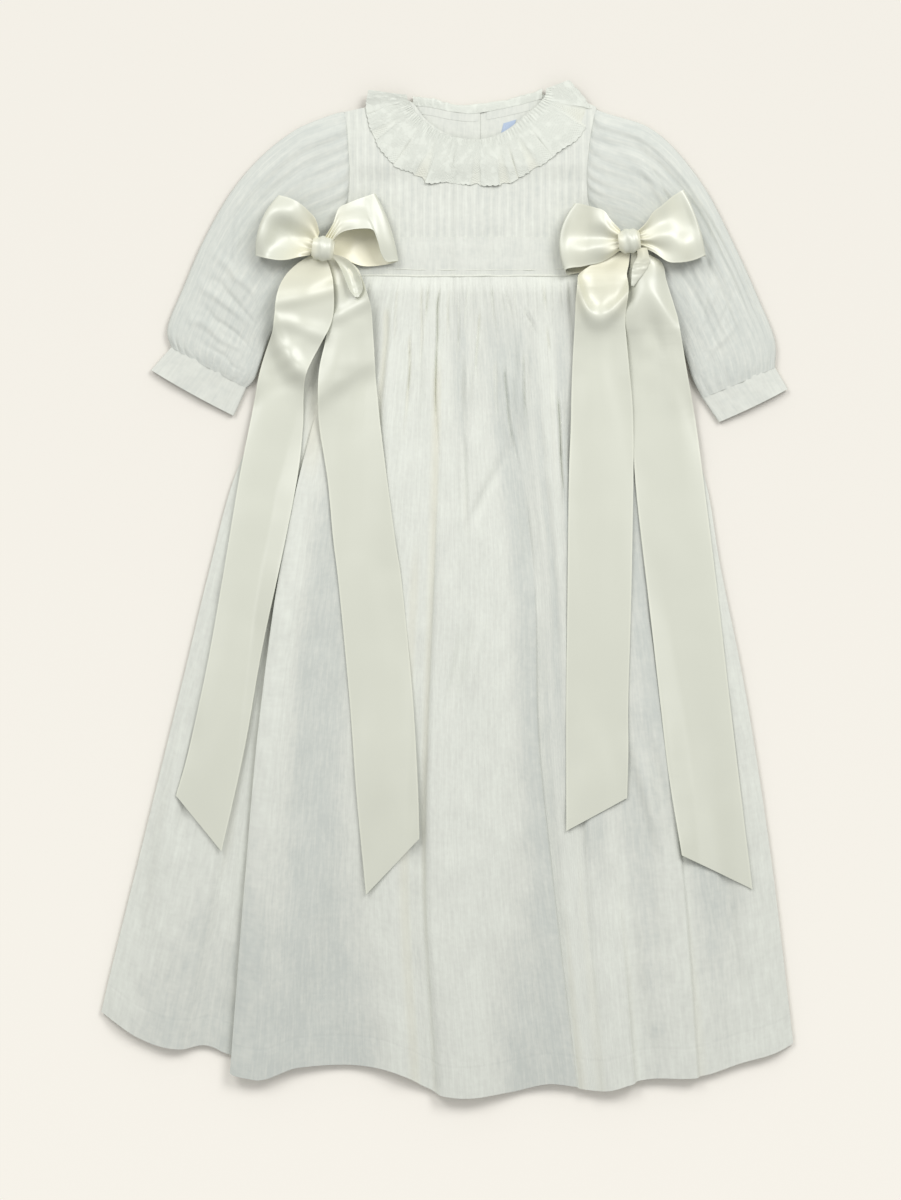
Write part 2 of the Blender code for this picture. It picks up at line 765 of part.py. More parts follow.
def make_collar_back():
    """The back of the collar rolls over the neck edge and lies under the yoke."""
    roll = 2.4

    def surface(u, v):
        neck_x, neck_y = through(COLLAR_BACK, u)
        turned = math.pi * np.clip(v / 0.22, 0.0, 1.0)
        inward = np.clip((v - 0.22) / 0.78, 0.0, 1.0)
        lean = (u - 0.5) * 14.0
        low = LACE / 2
        high = COTTON + NECK_RAISE + 0.3
        x = neck_x + lean * inward
        y = neck_y + 0.6 + roll * np.sin(turned) - 34.0 * inward
        z = low + (high - low) * (0.5 + 0.5 * np.cos(turned))
        wave = 0.7 * (0.5 - 0.5 * np.cos(2 * math.pi * COLLAR_BACK_WAVES * u))
        return np.array([x, y, z + wave * ease(inward * 2.5)])

    rows = [(v, np.linspace(0, 1, 4 * COLLAR_BACK_WAVES + 1)) for v in (0, 0.07, 0.15, 0.22, 0.5, 1.0)]
    new_wall("collar_back", surface, rows, LACE, "lace")


def make_neck_inside():
    """Binding along the back neck in two pieces, and the corner of a bare label beside it."""

    def binding(start, end, lapped):
        def surface(u, v):
            neck_x, neck_y = through(COLLAR_BACK, mix(start, end, u))
            x, y = neck_x, neck_y - 3.2 - 7.0 * v
            z = back_height(x, y, lapped) + COTTON / 2 + CLEAR + LACE / 2 + 0.15
            return np.array([x, y, z])

        return surface

    new_wall("neck_binding_left", binding(0.06, 0.54, True), grid_rows(10, 1), LACE, "piping")
    new_wall("neck_binding_right", binding(0.585, 0.96, False), grid_rows(8, 1), LACE, "piping")

    def label(u, v):
        x = 43.0 + 11.0 * u
        y = 367.5 - 9.0 * v + 3.0 * u
        z = back_height(x, y, False) + COTTON / 2 + CLEAR + LACE / 2 + 0.1
        return np.array([x, y, z])

    new_wall("neck_label", label, grid_rows(2, 2), LACE, "label")


# What lies on the gown is set on the height of what is already there.


CELL = 2.0
FIELD_X = (-300.0, 300.0)
FIELD_Y = (-420.0, 420.0)


def heights_of(names):
    """The highest point of the named pieces over each cell of a plan grid."""
    wide = int((FIELD_X[1] - FIELD_X[0]) / CELL) + 1
    tall = int((FIELD_Y[1] - FIELD_Y[0]) / CELL) + 1
    field = np.zeros((wide, tall))
    steps = 10
    pairs = [(i / steps, j / steps) for i in range(steps + 1) for j in range(steps + 1 - i)]
    s, t = np.array(pairs).T
    for name in names:
        mesh = bpy.data.objects[name].data
        points = np.array([vertex.co for vertex in mesh.vertices]) / MM
        mesh.calc_loop_triangles()
        corners = points[np.array([tri.vertices for tri in mesh.loop_triangles])]
        spots = (
            corners[:, 0, None] * (1 - s - t)[None, :, None]
            + corners[:, 1, None] * s[None, :, None]
            + corners[:, 2, None] * t[None, :, None]
        ).reshape(-1, 3)
        i = np.clip(((spots[:, 0] - FIELD_X[0]) / CELL).round().astype(int), 0, wide - 1)
        j = np.clip(((spots[:, 1] - FIELD_Y[0]) / CELL).round().astype(int), 0, tall - 1)
        np.maximum.at(field, (i, j), spots[:, 2])
    return field


def spread_field(field, cells, combine):
    """Each cell combined with those around it, within a square of that many cells each way."""
    result = field.copy()
    for axis in (0, 1):
        layers = [np.roll(result, shift, axis) for shift in range(-cells, cells + 1)]
        result = combine(layers)
    return result


def resting_on(names, reach):
    """A smooth height that clears the named pieces, as a function of plan position."""
    field = heights_of(names)
    cells = int(reach / CELL)
    field = spread_field(field, cells, lambda layers: np.max(layers, axis=0))
    field = spread_field(field, cells, lambda layers: np.mean(layers, axis=0))

    def height(x, y):
        i = np.clip((x - FIELD_X[0]) / CELL, 0, field.shape[0] - 1.001)
        j = np.clip((y - FIELD_Y[0]) / CELL, 0, field.shape[1] - 1.001)
        i0, j0 = i.astype(int), j.astype(int)
        a, b = i - i0, j - j0
        low = mix(field[i0, j0], field[i0 + 1, j0], a)
        high = mix(field[i0, j0 + 1], field[i0 + 1, j0 + 1], a)
        return mix(low, high, b)

    return height


# The bows.


def make_tail(name, table, rests, pleats):
    """A ribbon tail: wide and flat on the skirt, drawn into pleats where it leaves the knot."""
    rows = [(n / (len(table) - 1), *row) for n, row in enumerate(table)]

    def surface(u, v):
        left_y, left_x, right_y, right_x, lift = through(rows, v)
        x, y = mix(left_x, right_x, u), mix(left_y, right_y, u)
        drawn = 1 - ease(v / 0.3)
        wave = pleats * drawn * (0.5 + 0.5 * np.cos(2 * math.pi * (2 * u + 0.15)))
        arch = lift * (0.35 + 0.65 * np.sin(math.pi * u))
        return np.array([x, y, rests(x, y) + CLEAR + SATIN / 2 + arch + wave])

    pleated = [(v, np.linspace(0, 1, 9)) for v in np.linspace(0, 0.36, 8)]
    plain = [(v, np.linspace(0, 1, 5)) for v in np.linspace(0.43, 1, 12)]
    new_wall(name, surface, pleated + plain, SATIN, "satin")


def make_loop(name, knot, degrees, upper, table, length, rests):
    """A loop of ribbon: its back lies on the gown, its front stands over it, and it meets the knot."""
    angle = math.radians(degrees)
    reach = np.array([math.cos(angle), math.sin(angle)])
    side = upper * np.array([-math.sin(angle), math.cos(angle)])
    start = (KNOT_LONG / 2 + SEAM + LOOP_NECK * abs(reach[1])) / abs(reach[0])

    def surface(u, v):
        out, high_side, low_side, z_high, z_low, crown = through(table, v)
        out = out * length
        across = mix(high_side, low_side, u)
        x = knot[0] + reach[0] * (start + out) + side[0] * across
        y = knot[1] + reach[1] * (start + out) + side[1] * across
        z = mix(z_high, z_low, u) + crown * 4 * u * (1 - u)
        settled = rests(x, y) + CLEAR + SATIN / 2
        return np.array([x, y, z + mix(knot[2], settled, ease(out / LOOP_SETTLES))])

    rows = [(v, np.linspace(0, 1, 7)) for v in np.linspace(0, 1, 15)]
    new_wall(name, surface, rows, SATIN, "satin")


def knot_place(x, y, rests):
    """Middle of a knot that sits on the ends of its tails."""
    reach_x = np.linspace(-KNOT_LONG / 2, KNOT_LONG / 2, 7)
    reach_y = np.linspace(-KNOT_WIDE / 2, KNOT_WIDE / 2, 7)
    under = [float(np.max(rests(x + reach_x, y + shift + 0 * reach_x))) for shift in reach_y]
    return x, y, max(under) + CLEAR + KNOT_HIGH / 2


def make_knot(name, place):
    """The knot: a short, soft barrel with the ribbon's turns rounded over."""
    x0, y0, z0 = place
    rings, sides = 7, 14
    points = []
    for t in np.linspace(-1, 1, rings):
        swell = math.sqrt(1 - 0.55 * t * t)
        for angle in np.arange(sides) * 2 * math.pi / sides:
            y = KNOT_WIDE / 2 * math.cos(angle) * swell
            z = KNOT_HIGH / 2 * math.sin(angle) * swell
            points.append((x0 + t * KNOT_LONG / 2, y0 + y, z0 + z))
    new_piece(name, np.array(points), barrel_faces(rings, sides), "satin")


def main():
    clear_scene()
    make_skirt_back()
    make_skirt_front()
    make_bodice()
    make_waistband()
    make_piping()
    make_sleeves()
    make_collar_back()
    make_neck_inside()
    make_collar_front()
    cloth = [obj.name for obj in bpy.data.objects]
    rests = resting_on(cloth, 12.0)
    make_tail("bow_left_tail_outer", TAIL_LEFT_OUTER, rests, 2.5)
    make_tail("bow_left_tail_inner", TAIL_LEFT_INNER, rests, 2.5)
    make_tail("bow_right_tail_inner", TAIL_RIGHT_INNER, rests, 2.5)
    make_tail("bow_right_tail_outer", TAIL_RIGHT_OUTER, rests, 2.5)
    rests = resting_on([obj.name for obj in bpy.data.objects], 6.0)
    close = resting_on([obj.name for obj in bpy.data.objects], CELL)
    knots = {bow: knot_place(x, y, close) for bow, x, y in BOWS}
    for bow, loop, degrees, upper, table, length in LOOPS:
        make_loop(f"{bow}_{loop}", knots[bow], degrees, upper, table, length, rests)
    for bow, place in knots.items():
        make_knot(f"{bow}_knot", place)


main()
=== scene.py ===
# %% [markdown]
# # A christening gown, laid flat
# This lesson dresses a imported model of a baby's christening gown: a gathered cotton skirt and
# puffed sleeves, a plain yoke with a lace collar, and two satin bows with long tails. The gown
# lies on its back and the camera looks straight down on it. Every piece of cloth is one surface,
# a function of two parameters, so that a fold, a gather or a crease is a term added to its height.

import math

import bpy
import numpy as np
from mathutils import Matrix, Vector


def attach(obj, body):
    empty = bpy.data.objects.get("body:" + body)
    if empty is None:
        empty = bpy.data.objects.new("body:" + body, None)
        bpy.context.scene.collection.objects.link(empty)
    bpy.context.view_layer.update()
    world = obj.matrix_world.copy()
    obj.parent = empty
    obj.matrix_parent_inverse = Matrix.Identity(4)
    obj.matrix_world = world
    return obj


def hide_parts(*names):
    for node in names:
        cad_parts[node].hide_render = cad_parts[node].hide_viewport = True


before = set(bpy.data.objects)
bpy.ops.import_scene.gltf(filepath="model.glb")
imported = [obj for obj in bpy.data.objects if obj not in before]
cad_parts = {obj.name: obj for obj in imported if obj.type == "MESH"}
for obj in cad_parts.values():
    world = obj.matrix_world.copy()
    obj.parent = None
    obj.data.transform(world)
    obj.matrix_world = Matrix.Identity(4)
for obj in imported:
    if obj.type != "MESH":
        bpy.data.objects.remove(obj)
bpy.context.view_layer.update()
MM = 0.001

# %% [markdown]
# ## The camera
# The gown was photographed from straight above. A long lens held far away keeps the sleeves and
# bows from leaning outwards. The picture shows 713 by 950 mm of the floor, and its middle lies
# a little to the right of the gown's middle and below it.

# %% The camera, looking straight down
VIEW_HIGH = 949.6 * MM
VIEW_MIDDLE = (3.6 * MM, -10.7 * MM)
CAMERA_HEIGHT = 3.2
SENSOR = 24.0

camera_data = bpy.data.cameras.new("camera")
camera_data.sensor_fit = "VERTICAL"
camera_data.sensor_height = SENSOR
camera_data.lens = SENSOR * CAMERA_HEIGHT / VIEW_HIGH
camera = bpy.data.objects.new("camera", camera_data)
camera.location = (*VIEW_MIDDLE, CAMERA_HEIGHT)
bpy.context.scene.collection.objects.link(camera)
bpy.context.scene.camera = camera
print("lens:", round(camera_data.lens, 1), "mm")

# %% [markdown]
# ## Colour and nodes
# Colours are written as sRGB hex values, as one reads them in a picture, and one function turns
# them into the linear values that the shaders use. A second small function adds a node with its
# settings and its links, so that each material below reads as a list of what goes into what.

# %% Colour and node helpers
def linear(hex_colour):
    """sRGB to linear: each channel c becomes ((c + 0.055) / 1.055) ** 2.4, or c / 12.92 when dark."""
    channels = [int(hex_colour[n : n + 2], 16) / 255 for n in (1, 3, 5)]
    return tuple(c / 12.92 if c < 0.04045 else ((c + 0.055) / 1.055) ** 2.4 for c in channels) + (1.0,)


def add(tree, kind, inputs=None, **settings):
    """Adds a node. `inputs` maps a socket to a value, an output, or a node, which gives its first output."""
    node = tree.nodes.new(kind)
    for name, value in settings.items():
        setattr(node, name, value)
    for socket, value in (inputs or {}).items():
        if isinstance(value, bpy.types.Node):
            value = value.outputs[0]
        if isinstance(value, bpy.types.NodeSocket):
            tree.links.new(value, node.inputs[socket])
        else:
            node.inputs[socket].default_value = value
    return node


def new_material(name):
    """A material with a Principled shader, its node tree and that shader."""
    made = bpy.data.materials.new(name)
    made.use_nodes = True
    return made, made.node_tree, made.node_tree.nodes["Principled BSDF"]


# %% [markdown]
# ## Floor and light
# The backdrop is plain cream paper. Two large soft boxes hang beyond the neck, to the left and
# the right, so both sides of a fold catch a highlight and the light fades towards the hem, and an
# even sky fills the shadows. A cut-out keeps its paper even, so the paper's tint is worked out to
# undo the fading: the wanted colour divided by the light that reaches each place.

# %% The stage
# Columns: name, x, y, z, watts.
LAMPS = (
    ("soft_box_left", -0.95, 1.25, 1.6, 18.0),
    ("soft_box_right", 1.00, 1.25, 1.6, 24.0),
)
LAMP_AIM = Vector((0.0, 0.1, 0.0))
LAMP_SIZE = 1.1
SKY = 0.62
PAPER = "#F8F4EB"
FLOOR_Z = -0.6 * MM


def paper_material():
    """Uncoated cream paper, its colour divided by sky + the sum of W z f / (pi^2 d^4) over the lamps.

    d is the distance to a lamp, z its height and f the distance along its axis.
    """
    paper, tree, shader = new_material("cream_paper")
    place = add(tree, "ShaderNodeTexCoord").outputs["Object"]
    total = SKY
    for _, x, y, z, watts in LAMPS:
        axis = tuple((Vector((x, y, z)) - LAMP_AIM).normalized())
        way = add(tree, "ShaderNodeVectorMath", {0: (x, y, z), 1: place}, operation="SUBTRACT")
        distance = add(tree, "ShaderNodeVectorMath", {0: way}, operation="LENGTH").outputs["Value"]
        along = add(tree, "ShaderNodeVectorMath", {0: way, 1: axis}, operation="DOT_PRODUCT").outputs["Value"]
        faded = add(tree, "ShaderNodeMath", {0: distance, 1: -4.0}, operation="POWER")
        lit = add(tree, "ShaderNodeMath", {0: along, 1: faded}, operation="MULTIPLY")
        strength = watts * z / math.pi**2
        total = add(tree, "ShaderNodeMath", {0: lit, 1: strength, 2: total}, operation="MULTIPLY_ADD")
    share = add(tree, "ShaderNodeMath", {0: 1.0, 1: total}, operation="DIVIDE")
    tint = add(tree, "ShaderNodeVectorMath", {0: linear(PAPER)[:3], "Scale": share}, operation="SCALE")
    tree.links.new(tint.outputs[0], shader.inputs["Base Color"])
    shader.inputs["Roughness"].default_value = 1.0
    shader.inputs["Specular IOR Level"].default_value = 0.0
    return paper


floor_corners = [(x, y, FLOOR_Z) for x, y in ((-3, -3), (3, -3), (3, 3), (-3, 3))]
floor_mesh = bpy.data.meshes.new("floor")
floor_mesh.from_pydata(floor_corners, [], [(0, 1, 2, 3)])
floor_mesh.materials.append(paper_material())
floor = bpy.data.objects.new("floor", floor_mesh)
bpy.context.scene.collection.objects.link(floor)

for name, *place, watts in LAMPS:
    box_data = bpy.data.lights.new(name, "AREA")
    box_data.shape = "DISK"
    box_data.size = LAMP_SIZE
    box_data.energy = watts
    soft_box = bpy.data.objects.new(name, box_data)
    soft_box.location = place
    soft_box.rotation_euler = (LAMP_AIM - soft_box.location).to_track_quat("-Z", "Y").to_euler()
    soft_box.visible_camera = False
    bpy.context.scene.collection.objects.link(soft_box)

world = bpy.data.worlds.new("even_sky")
world.use_nodes = True
world.node_tree.nodes["Background"].inputs["Color"].default_value = (1.0, 1.0, 1.0, 1.0)
world.node_tree.nodes["Background"].inputs["Strength"].default_value = SKY
bpy.context.scene.world = world
bpy.context.scene.view_settings.view_transform = "Standard"
print("lamps:", [lamp[0] for lamp in LAMPS])

# %% [markdown]
# ## Curves, hills and cloth
# A few helpers do all the shaping. `through` draws a smooth curve through the rows of a table,
# `hills` gives random but repeatable unevenness, and `cloth` turns a surface into a thin closed
# shell. The shell carries a UV map in metres of flat cloth, so that a woven stripe keeps its real
# spacing and follows the cloth into every fold.

# %% Curves and hills
def ease(t):
    """0 up to 1 with no slope at either end: 3 t^2 - 2 t^3."""
    t = np.clip(t, 0.0, 1.0)
    return t * t * (3.0 - 2.0 * t)


def mix(a, b, t):
    return a + (b - a) * t


def bump_at(t):
    """A soft hill: 1 at t = 0 and gone at t = 1 either way, (1 - t^2)^2."""
    return np.clip(1.0 - t * t, 0.0, None) ** 2


def within(x, start, end, fade_in, fade_out):
    """1 between start and end, eased to 0 at both over the two fades."""
    return ease((x - start) / fade_in) * ease((end - x) / fade_out)


def cubic(t, a, slope_a, b, slope_b):
    """From a to b as t goes from 0 to 1, with a given slope at each."""
    start = (2 * t**3 - 3 * t**2 + 1) * a + (t**3 - 2 * t**2 + t) * slope_a
    return start + (3 * t**2 - 2 * t**3) * b + (t**3 - t**2) * slope_b


def through(rows, at):
    """A smooth curve through a table, read where its first column is `at`.

    It is cubic, with each row's slope taken from its neighbours.
    """
    rows = np.array(rows, float)
    key, values = rows[:, 0], rows[:, 1:]
    slopes = np.gradient(values, key, axis=0)
    at = np.clip(np.asarray(at, float), key[0], key[-1])
    i = np.clip(np.searchsorted(key, at, side="right") - 1, 0, len(key) - 2)
    span = (key[i + 1] - key[i])[..., None]
    t = (at - key[i])[..., None] / span
    curve = cubic(t, values[i], span * slopes[i], values[i + 1], span * slopes[i + 1])
    return np.moveaxis(curve, -1, 0)


def hills(x, y, seed):
    """Smooth random heights from -1 to 1, one to each unit square, eased into each other."""
    table = np.random.default_rng(seed).uniform(-1, 1, (64, 64))
    x, y = np.broadcast_arrays(np.asarray(x, float), np.asarray(y, float))
    i, j = np.floor(x).astype(int), np.floor(y).astype(int)
    a, b = ease(x - i), ease(y - j)
    near = mix(table[i % 64, j % 64], table[(i + 1) % 64, j % 64], a)
    far = mix(table[i % 64, (j + 1) % 64], table[(i + 1) % 64, (j + 1) % 64], a)
    return mix(near, far, b)


# %% Cloth shells
TRIANGLES = {}
CUT_EDGE = math.radians(75)


def as_object(name, mesh, flat, material):
    """Gives a mesh its UV map, which is `flat` at each corner of its faces, a material and an object."""
    mesh.uv_layers.new(name="cloth").data.foreach_set("uv", flat.astype(np.float32).reshape(-1))
    mesh.materials.append(material)
    piece = bpy.data.objects.new(name, mesh)
    bpy.context.scene.collection.objects.link(piece)
    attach(piece, "root")
    TRIANGLES[name] = len(mesh.loops) - 2 * len(mesh.polygons)
    return piece


def flat_sheet(width, length):
    """Flat place of a straight piece, in mm: u across it, or round it, and v along."""
    return lambda u, v: (u * width, v * length)


def cloth(name, surface, flat_cloth, across, along, wall, material, around=False):
    """A thin closed shell over surface(u, v), in mm, on a grid of across by along cells.

    Each grid point is moved half the wall outwards and half inwards along the normal, which is
    the cross product of the grid's two directions, and strips join the two along the edges.
    `flat_cloth(u, v)` gives the point's place on the flat cloth in mm, for the UV map. A surface
    may give a fourth value of painted light, kept as an attribute: up to 1 where painted cream
    light collects in a fold, down to -1 where painted shade darkens a trough.
    """
    u = np.arange(across) / across if around else np.linspace(0, 1, across + 1)
    u, v = np.meshgrid(u, np.linspace(0, 1, along + 1))
    shaped = surface(u, v)
    points = shaped[:3]
    depth = shaped[3] if len(shaped) > 3 else np.zeros_like(u)
    if around:
        along_u = np.roll(points, -1, axis=2) - np.roll(points, 1, axis=2)
    else:
        along_u = np.gradient(points, axis=2)
    normal = np.cross(along_u, np.gradient(points, axis=1), axis=0)
    normal /= np.linalg.norm(normal, axis=0) + 1e-12
    walls = np.stack([points + normal * wall / 2, points - normal * wall / 2])
    vertices = walls.transpose(0, 2, 3, 1).reshape(-1, 3) * MM
    rows, columns = u.shape
    number = np.arange(rows * columns).reshape(rows, columns)
    right = np.roll(number, -1, axis=1) if around else number[:, 1:]
    left = number if around else number[:, :-1]
    outer = np.stack([left[:-1], right[:-1], right[1:], left[1:]], axis=-1).reshape(-1, 4)
    inner = outer[:, ::-1] + rows * columns
    edges = [(left[0], right[0], False), (left[-1], right[-1], True)]
    if not around:
        edges += [(number[:-1, 0], number[1:, 0], True), (number[:-1, -1], number[1:, -1], False)]
    quads = [outer, inner]
    for near, far, forward in edges:
        strip = np.stack([near, far, far + rows * columns, near + rows * columns], axis=-1)
        quads.append(strip if forward else strip[:, ::-1])
    quads = np.concatenate(quads)
    corners = vertices[quads]
    volume = (corners[:, 0] * np.cross(corners[:, 1], corners[:, 2])).sum()
    volume += (corners[:, 0] * np.cross(corners[:, 2], corners[:, 3])).sum()
    if volume < 0:
        quads = quads[:, ::-1]
    mesh = bpy.data.meshes.new(name)
    mesh.from_pydata(vertices, [], quads.tolist())
    mesh.shade_smooth()
    # A cut edge is not rounded off, or the shading would bend over it and darken it.
    mesh.set_sharp_from_angle(angle=CUT_EDGE)
    flat = np.stack(flat_cloth(u, v), axis=-1).reshape(-1, 2) * MM
    flat = np.concatenate([flat, flat])
    if around:
        seam = flat[quads.reshape(-1)].reshape(-1, 4, 2)
        width = flat[:, 0].max() + (flat[1, 0] - flat[0, 0])
        wrapped = np.ptp(seam[..., 0], axis=1) > width / 2
        seam[..., 0] += width * (wrapped[:, None] & (seam[..., 0] < width / 2))
        per_loop = seam.reshape(-1, 2)
    else:
        per_loop = flat[quads.reshape(-1)]
    # The fourth value, painted light and painted shade, goes to the shaders, which mix it into the colour.
    painted_light = np.tile(np.clip(depth, -1, 1).reshape(-1), 2).astype(np.float32)
    mesh.attributes.new("painted_light", "FLOAT", "POINT").data.foreach_set("value", painted_light)
    return as_object(name, mesh, per_loop, material)


def stand_for(node):
    """Hides the solid part that a piece of cloth replaces."""
    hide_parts(node)


# %% [markdown]
# ## The cotton
# The gown is cotton lawn with a dobby stripe: a plain, sheer ground with slightly raised cords
# woven in along the warp. Its threads are 0.3 mm apart, too fine to show from here, so the ground
# is drawn as what does show: slubs, soft streaks a millimetre or two wide, and the crimp left by
# washing. Lawn scatters light and has no gloss. Light and shade are painted into its colour. Light
# that reaches the bottom of a fold has passed through cream cotton on its way, so where the painted
# light is more than 0 the cloth is painted a warmer cream, and where it is less, in the skirt's
# troughs, it is painted cooler and darker as shade. Each copy of the cloth also carries a painted
# shade of its own, for the light that reaches that piece. The waistband, the cuffs and the inside
# of the neck are plain, without the stripe.

# %% What the cloths share
def cloth_place(tree):
    """Place on the flat cloth in metres, the same across and along it, and the painted light and shade of a
    fold.
    """
    uv = add(tree, "ShaderNodeUVMap", uv_map="cloth")
    split = add(tree, "ShaderNodeSeparateXYZ", {0: uv})
    painted_light = add(tree, "ShaderNodeAttribute", attribute_name="painted_light").outputs["Fac"]
    return uv, split.outputs["X"], split.outputs["Y"], painted_light


def flat_noise(tree, uv, wide_mm, long_mm, detail):
    """Noise on the flat cloth, its patches wide_mm across and long_mm along."""
    place = add(tree, "ShaderNodeMapping", {0: uv, "Scale": (1000 / wide_mm, 1000 / long_mm, 1.0)})
    return add(tree, "ShaderNodeTexNoise", {"Vector": place, "Scale": 1.0, "Detail": detail})


def weighted(tree, parts):
    """The sum of weight times value over the parts."""
    total = 0.0
    for weight, value in parts:
        total = add(tree, "ShaderNodeMath", {0: value, 1: weight, 2: total}, operation="MULTIPLY_ADD")
    return total


def finish_cloth(tree, shader, colour, height, high_mm, strength, roughness, specular):
    """Links a colour and a bump high_mm high, and sets how the surface shines."""
    bump = add(tree, "ShaderNodeBump", {"Height": height, "Distance": high_mm * MM, "Strength": strength})
    tree.links.new(colour, shader.inputs["Base Color"])
    tree.links.new(bump.outputs[0], shader.inputs["Normal"])
    shader.inputs["Roughness"].default_value = roughness
    shader.inputs["Specular IOR Level"].default_value = specular


# %% Cotton lawn, striped and plain
COTTON = "#CDCFC7"
COTTON_CORD = "#D8DBD2"
# The dark end of the colour ramp: cloth that is darker at random, and the painted shade of troughs and of
# darker copies of the cloth.
COTTON_SHADE = "#BEC2BC"
# Painted warm light: the cream of light that collects at the bottom of a fold.
COTTON_PAINTED_LIGHT = "#D1CEBC"
STRIPE_MM = 6.6
FINE_STRIPE_MM = 2.2
STITCHES_MM = 1.8
LIGHTNESS = 0.12


def stripe(tree, across, spacing):
    """Woven cords: a cosine of the distance across the flat cloth, its crests narrowed."""
    turns = add(tree, "ShaderNodeMath", {0: across, 1: 2 * math.pi / (spacing * MM)}, operation="MULTIPLY")
    wave = add(tree, "ShaderNodeMath", {0: turns}, operation="COSINE")
    return add(tree, "ShaderNodeMapRange", {"Value": wave, "From Min": -0.3, "From Max": 0.9})


# %% The cotton material
def cotton_lawn(name, cording, shade=0.0, hem_mm=None):
    """Woven cotton: slubs, crimp and mottling, cords of a given strength, a painted shade and a stitched hem.

    `raised` and `tone` say how much each counts for the height of the cloth and for its lightness.
    A painted shade above 0 darkens this copy of the cloth where less light reaches it; below 0 it
    lightens it.
    """
    made, tree, shader = new_material(name)
    uv, across, along, painted_light = cloth_place(tree)
    slubs = flat_noise(tree, uv, 1.7, 15.0, 4.0)
    crimp = flat_noise(tree, uv, 4.5, 4.0, 4.0)
    mottle = flat_noise(tree, uv, 17.0, 30.0, 4.0)
    raised = [(0.8, slubs), (1.0, crimp)]
    # The last weight lifts the tone, less the painted shade of this copy of the cloth.
    tone = [(0.34, slubs), (0.20, crimp), (0.26, mottle), (1.0, LIGHTNESS - shade)]
    if cording:
        cords, fine = (stripe(tree, across, spacing) for spacing in (STRIPE_MM, FINE_STRIPE_MM))
        raised += [(0.30 * cording, cords), (0.20 * cording, fine)]
        tone += [(0.13 * cording, cords), (0.06 * cording, fine)]
    if hem_mm:
        off_hem = add(tree, "ShaderNodeMath", {0: along, 1: hem_mm * MM}, operation="SUBTRACT")
        off_hem = add(tree, "ShaderNodeMath", {0: off_hem}, operation="ABSOLUTE")
        ends = {"From Min": 0.0, "From Max": STITCHES_MM * MM, "To Min": -1.0, "To Max": 0.0}
        groove = add(tree, "ShaderNodeMapRange", {"Value": off_hem, **ends})
        raised.append((0.4, groove))
        tone.append((0.04, groove))
    # Painted shade: where the painted light is below 0, in a trough, the tone darkens.
    tone.append((0.30, add(tree, "ShaderNodeMath", {0: painted_light, 1: 0.0}, operation="MINIMUM")))
    ramp = add(tree, "ShaderNodeValToRGB", {0: weighted(tree, tone)})
    shade_end, cord_end = ramp.color_ramp.elements
    shade_end.position, shade_end.color = 0.32, linear(COTTON_SHADE)
    cord_end.position, cord_end.color = 0.74, linear(COTTON_CORD)
    ramp.color_ramp.elements.new(0.53).color = linear(COTTON)
    # Painted warm light: where the painted light is above 0 the colour turns cream.
    colour = add(tree, "ShaderNodeMix", {0: painted_light, 6: ramp, 7: linear(COTTON_PAINTED_LIGHT)}, data_type="RGBA")
    finish_cloth(tree, shader, colour.outputs[2], weighted(tree, raised), 0.22, 0.8, 0.95, 0.15)
    return made


HEM_MM = 24.0
# Each copy's third number is its painted shade: the skirt is lightened, and the sleeves and the yoke are
# darkened, where the light on them differs.
lawn_skirt = cotton_lawn("cotton_lawn_hemmed", 0.3, -0.07, HEM_MM)
lawn_sleeve = cotton_lawn("cotton_lawn_sleeve", 0.35, 0.14)
lawn_striped = cotton_lawn("cotton_lawn_striped", 0.8, 0.05)
lawn_plain = cotton_lawn("cotton_lawn_plain", 0.0)
print("stripes every", STRIPE_MM, "mm")

# %% [markdown]
# ## The satin
# The bows are double-faced polyester satin ribbon, 50 mm wide. Long floats of smooth yarn on the
# face give satin its gloss: rough enough to spread a highlight into a band, smooth enough for the
# band to run along each fold. The floats run along the ribbon, which draws the gloss out that way
# and makes its brightness change with the way the ribbon lies. A second, clearer gloss on top is
# the light that the yarn's smooth skin sends back. Light that bounces inside a fold is painted into
# the colour, as a deeper cream. A firmer woven edge runs down each side.

# %% Satin ribbon
SATIN = "#C7C9BA"
SATIN_EDGE = "#CED0C0"
# Painted warm light: the cream of light that bounces inside a fold.
SATIN_PAINTED_LIGHT = "#DEDABE"
RIBBON_MM = 50.0


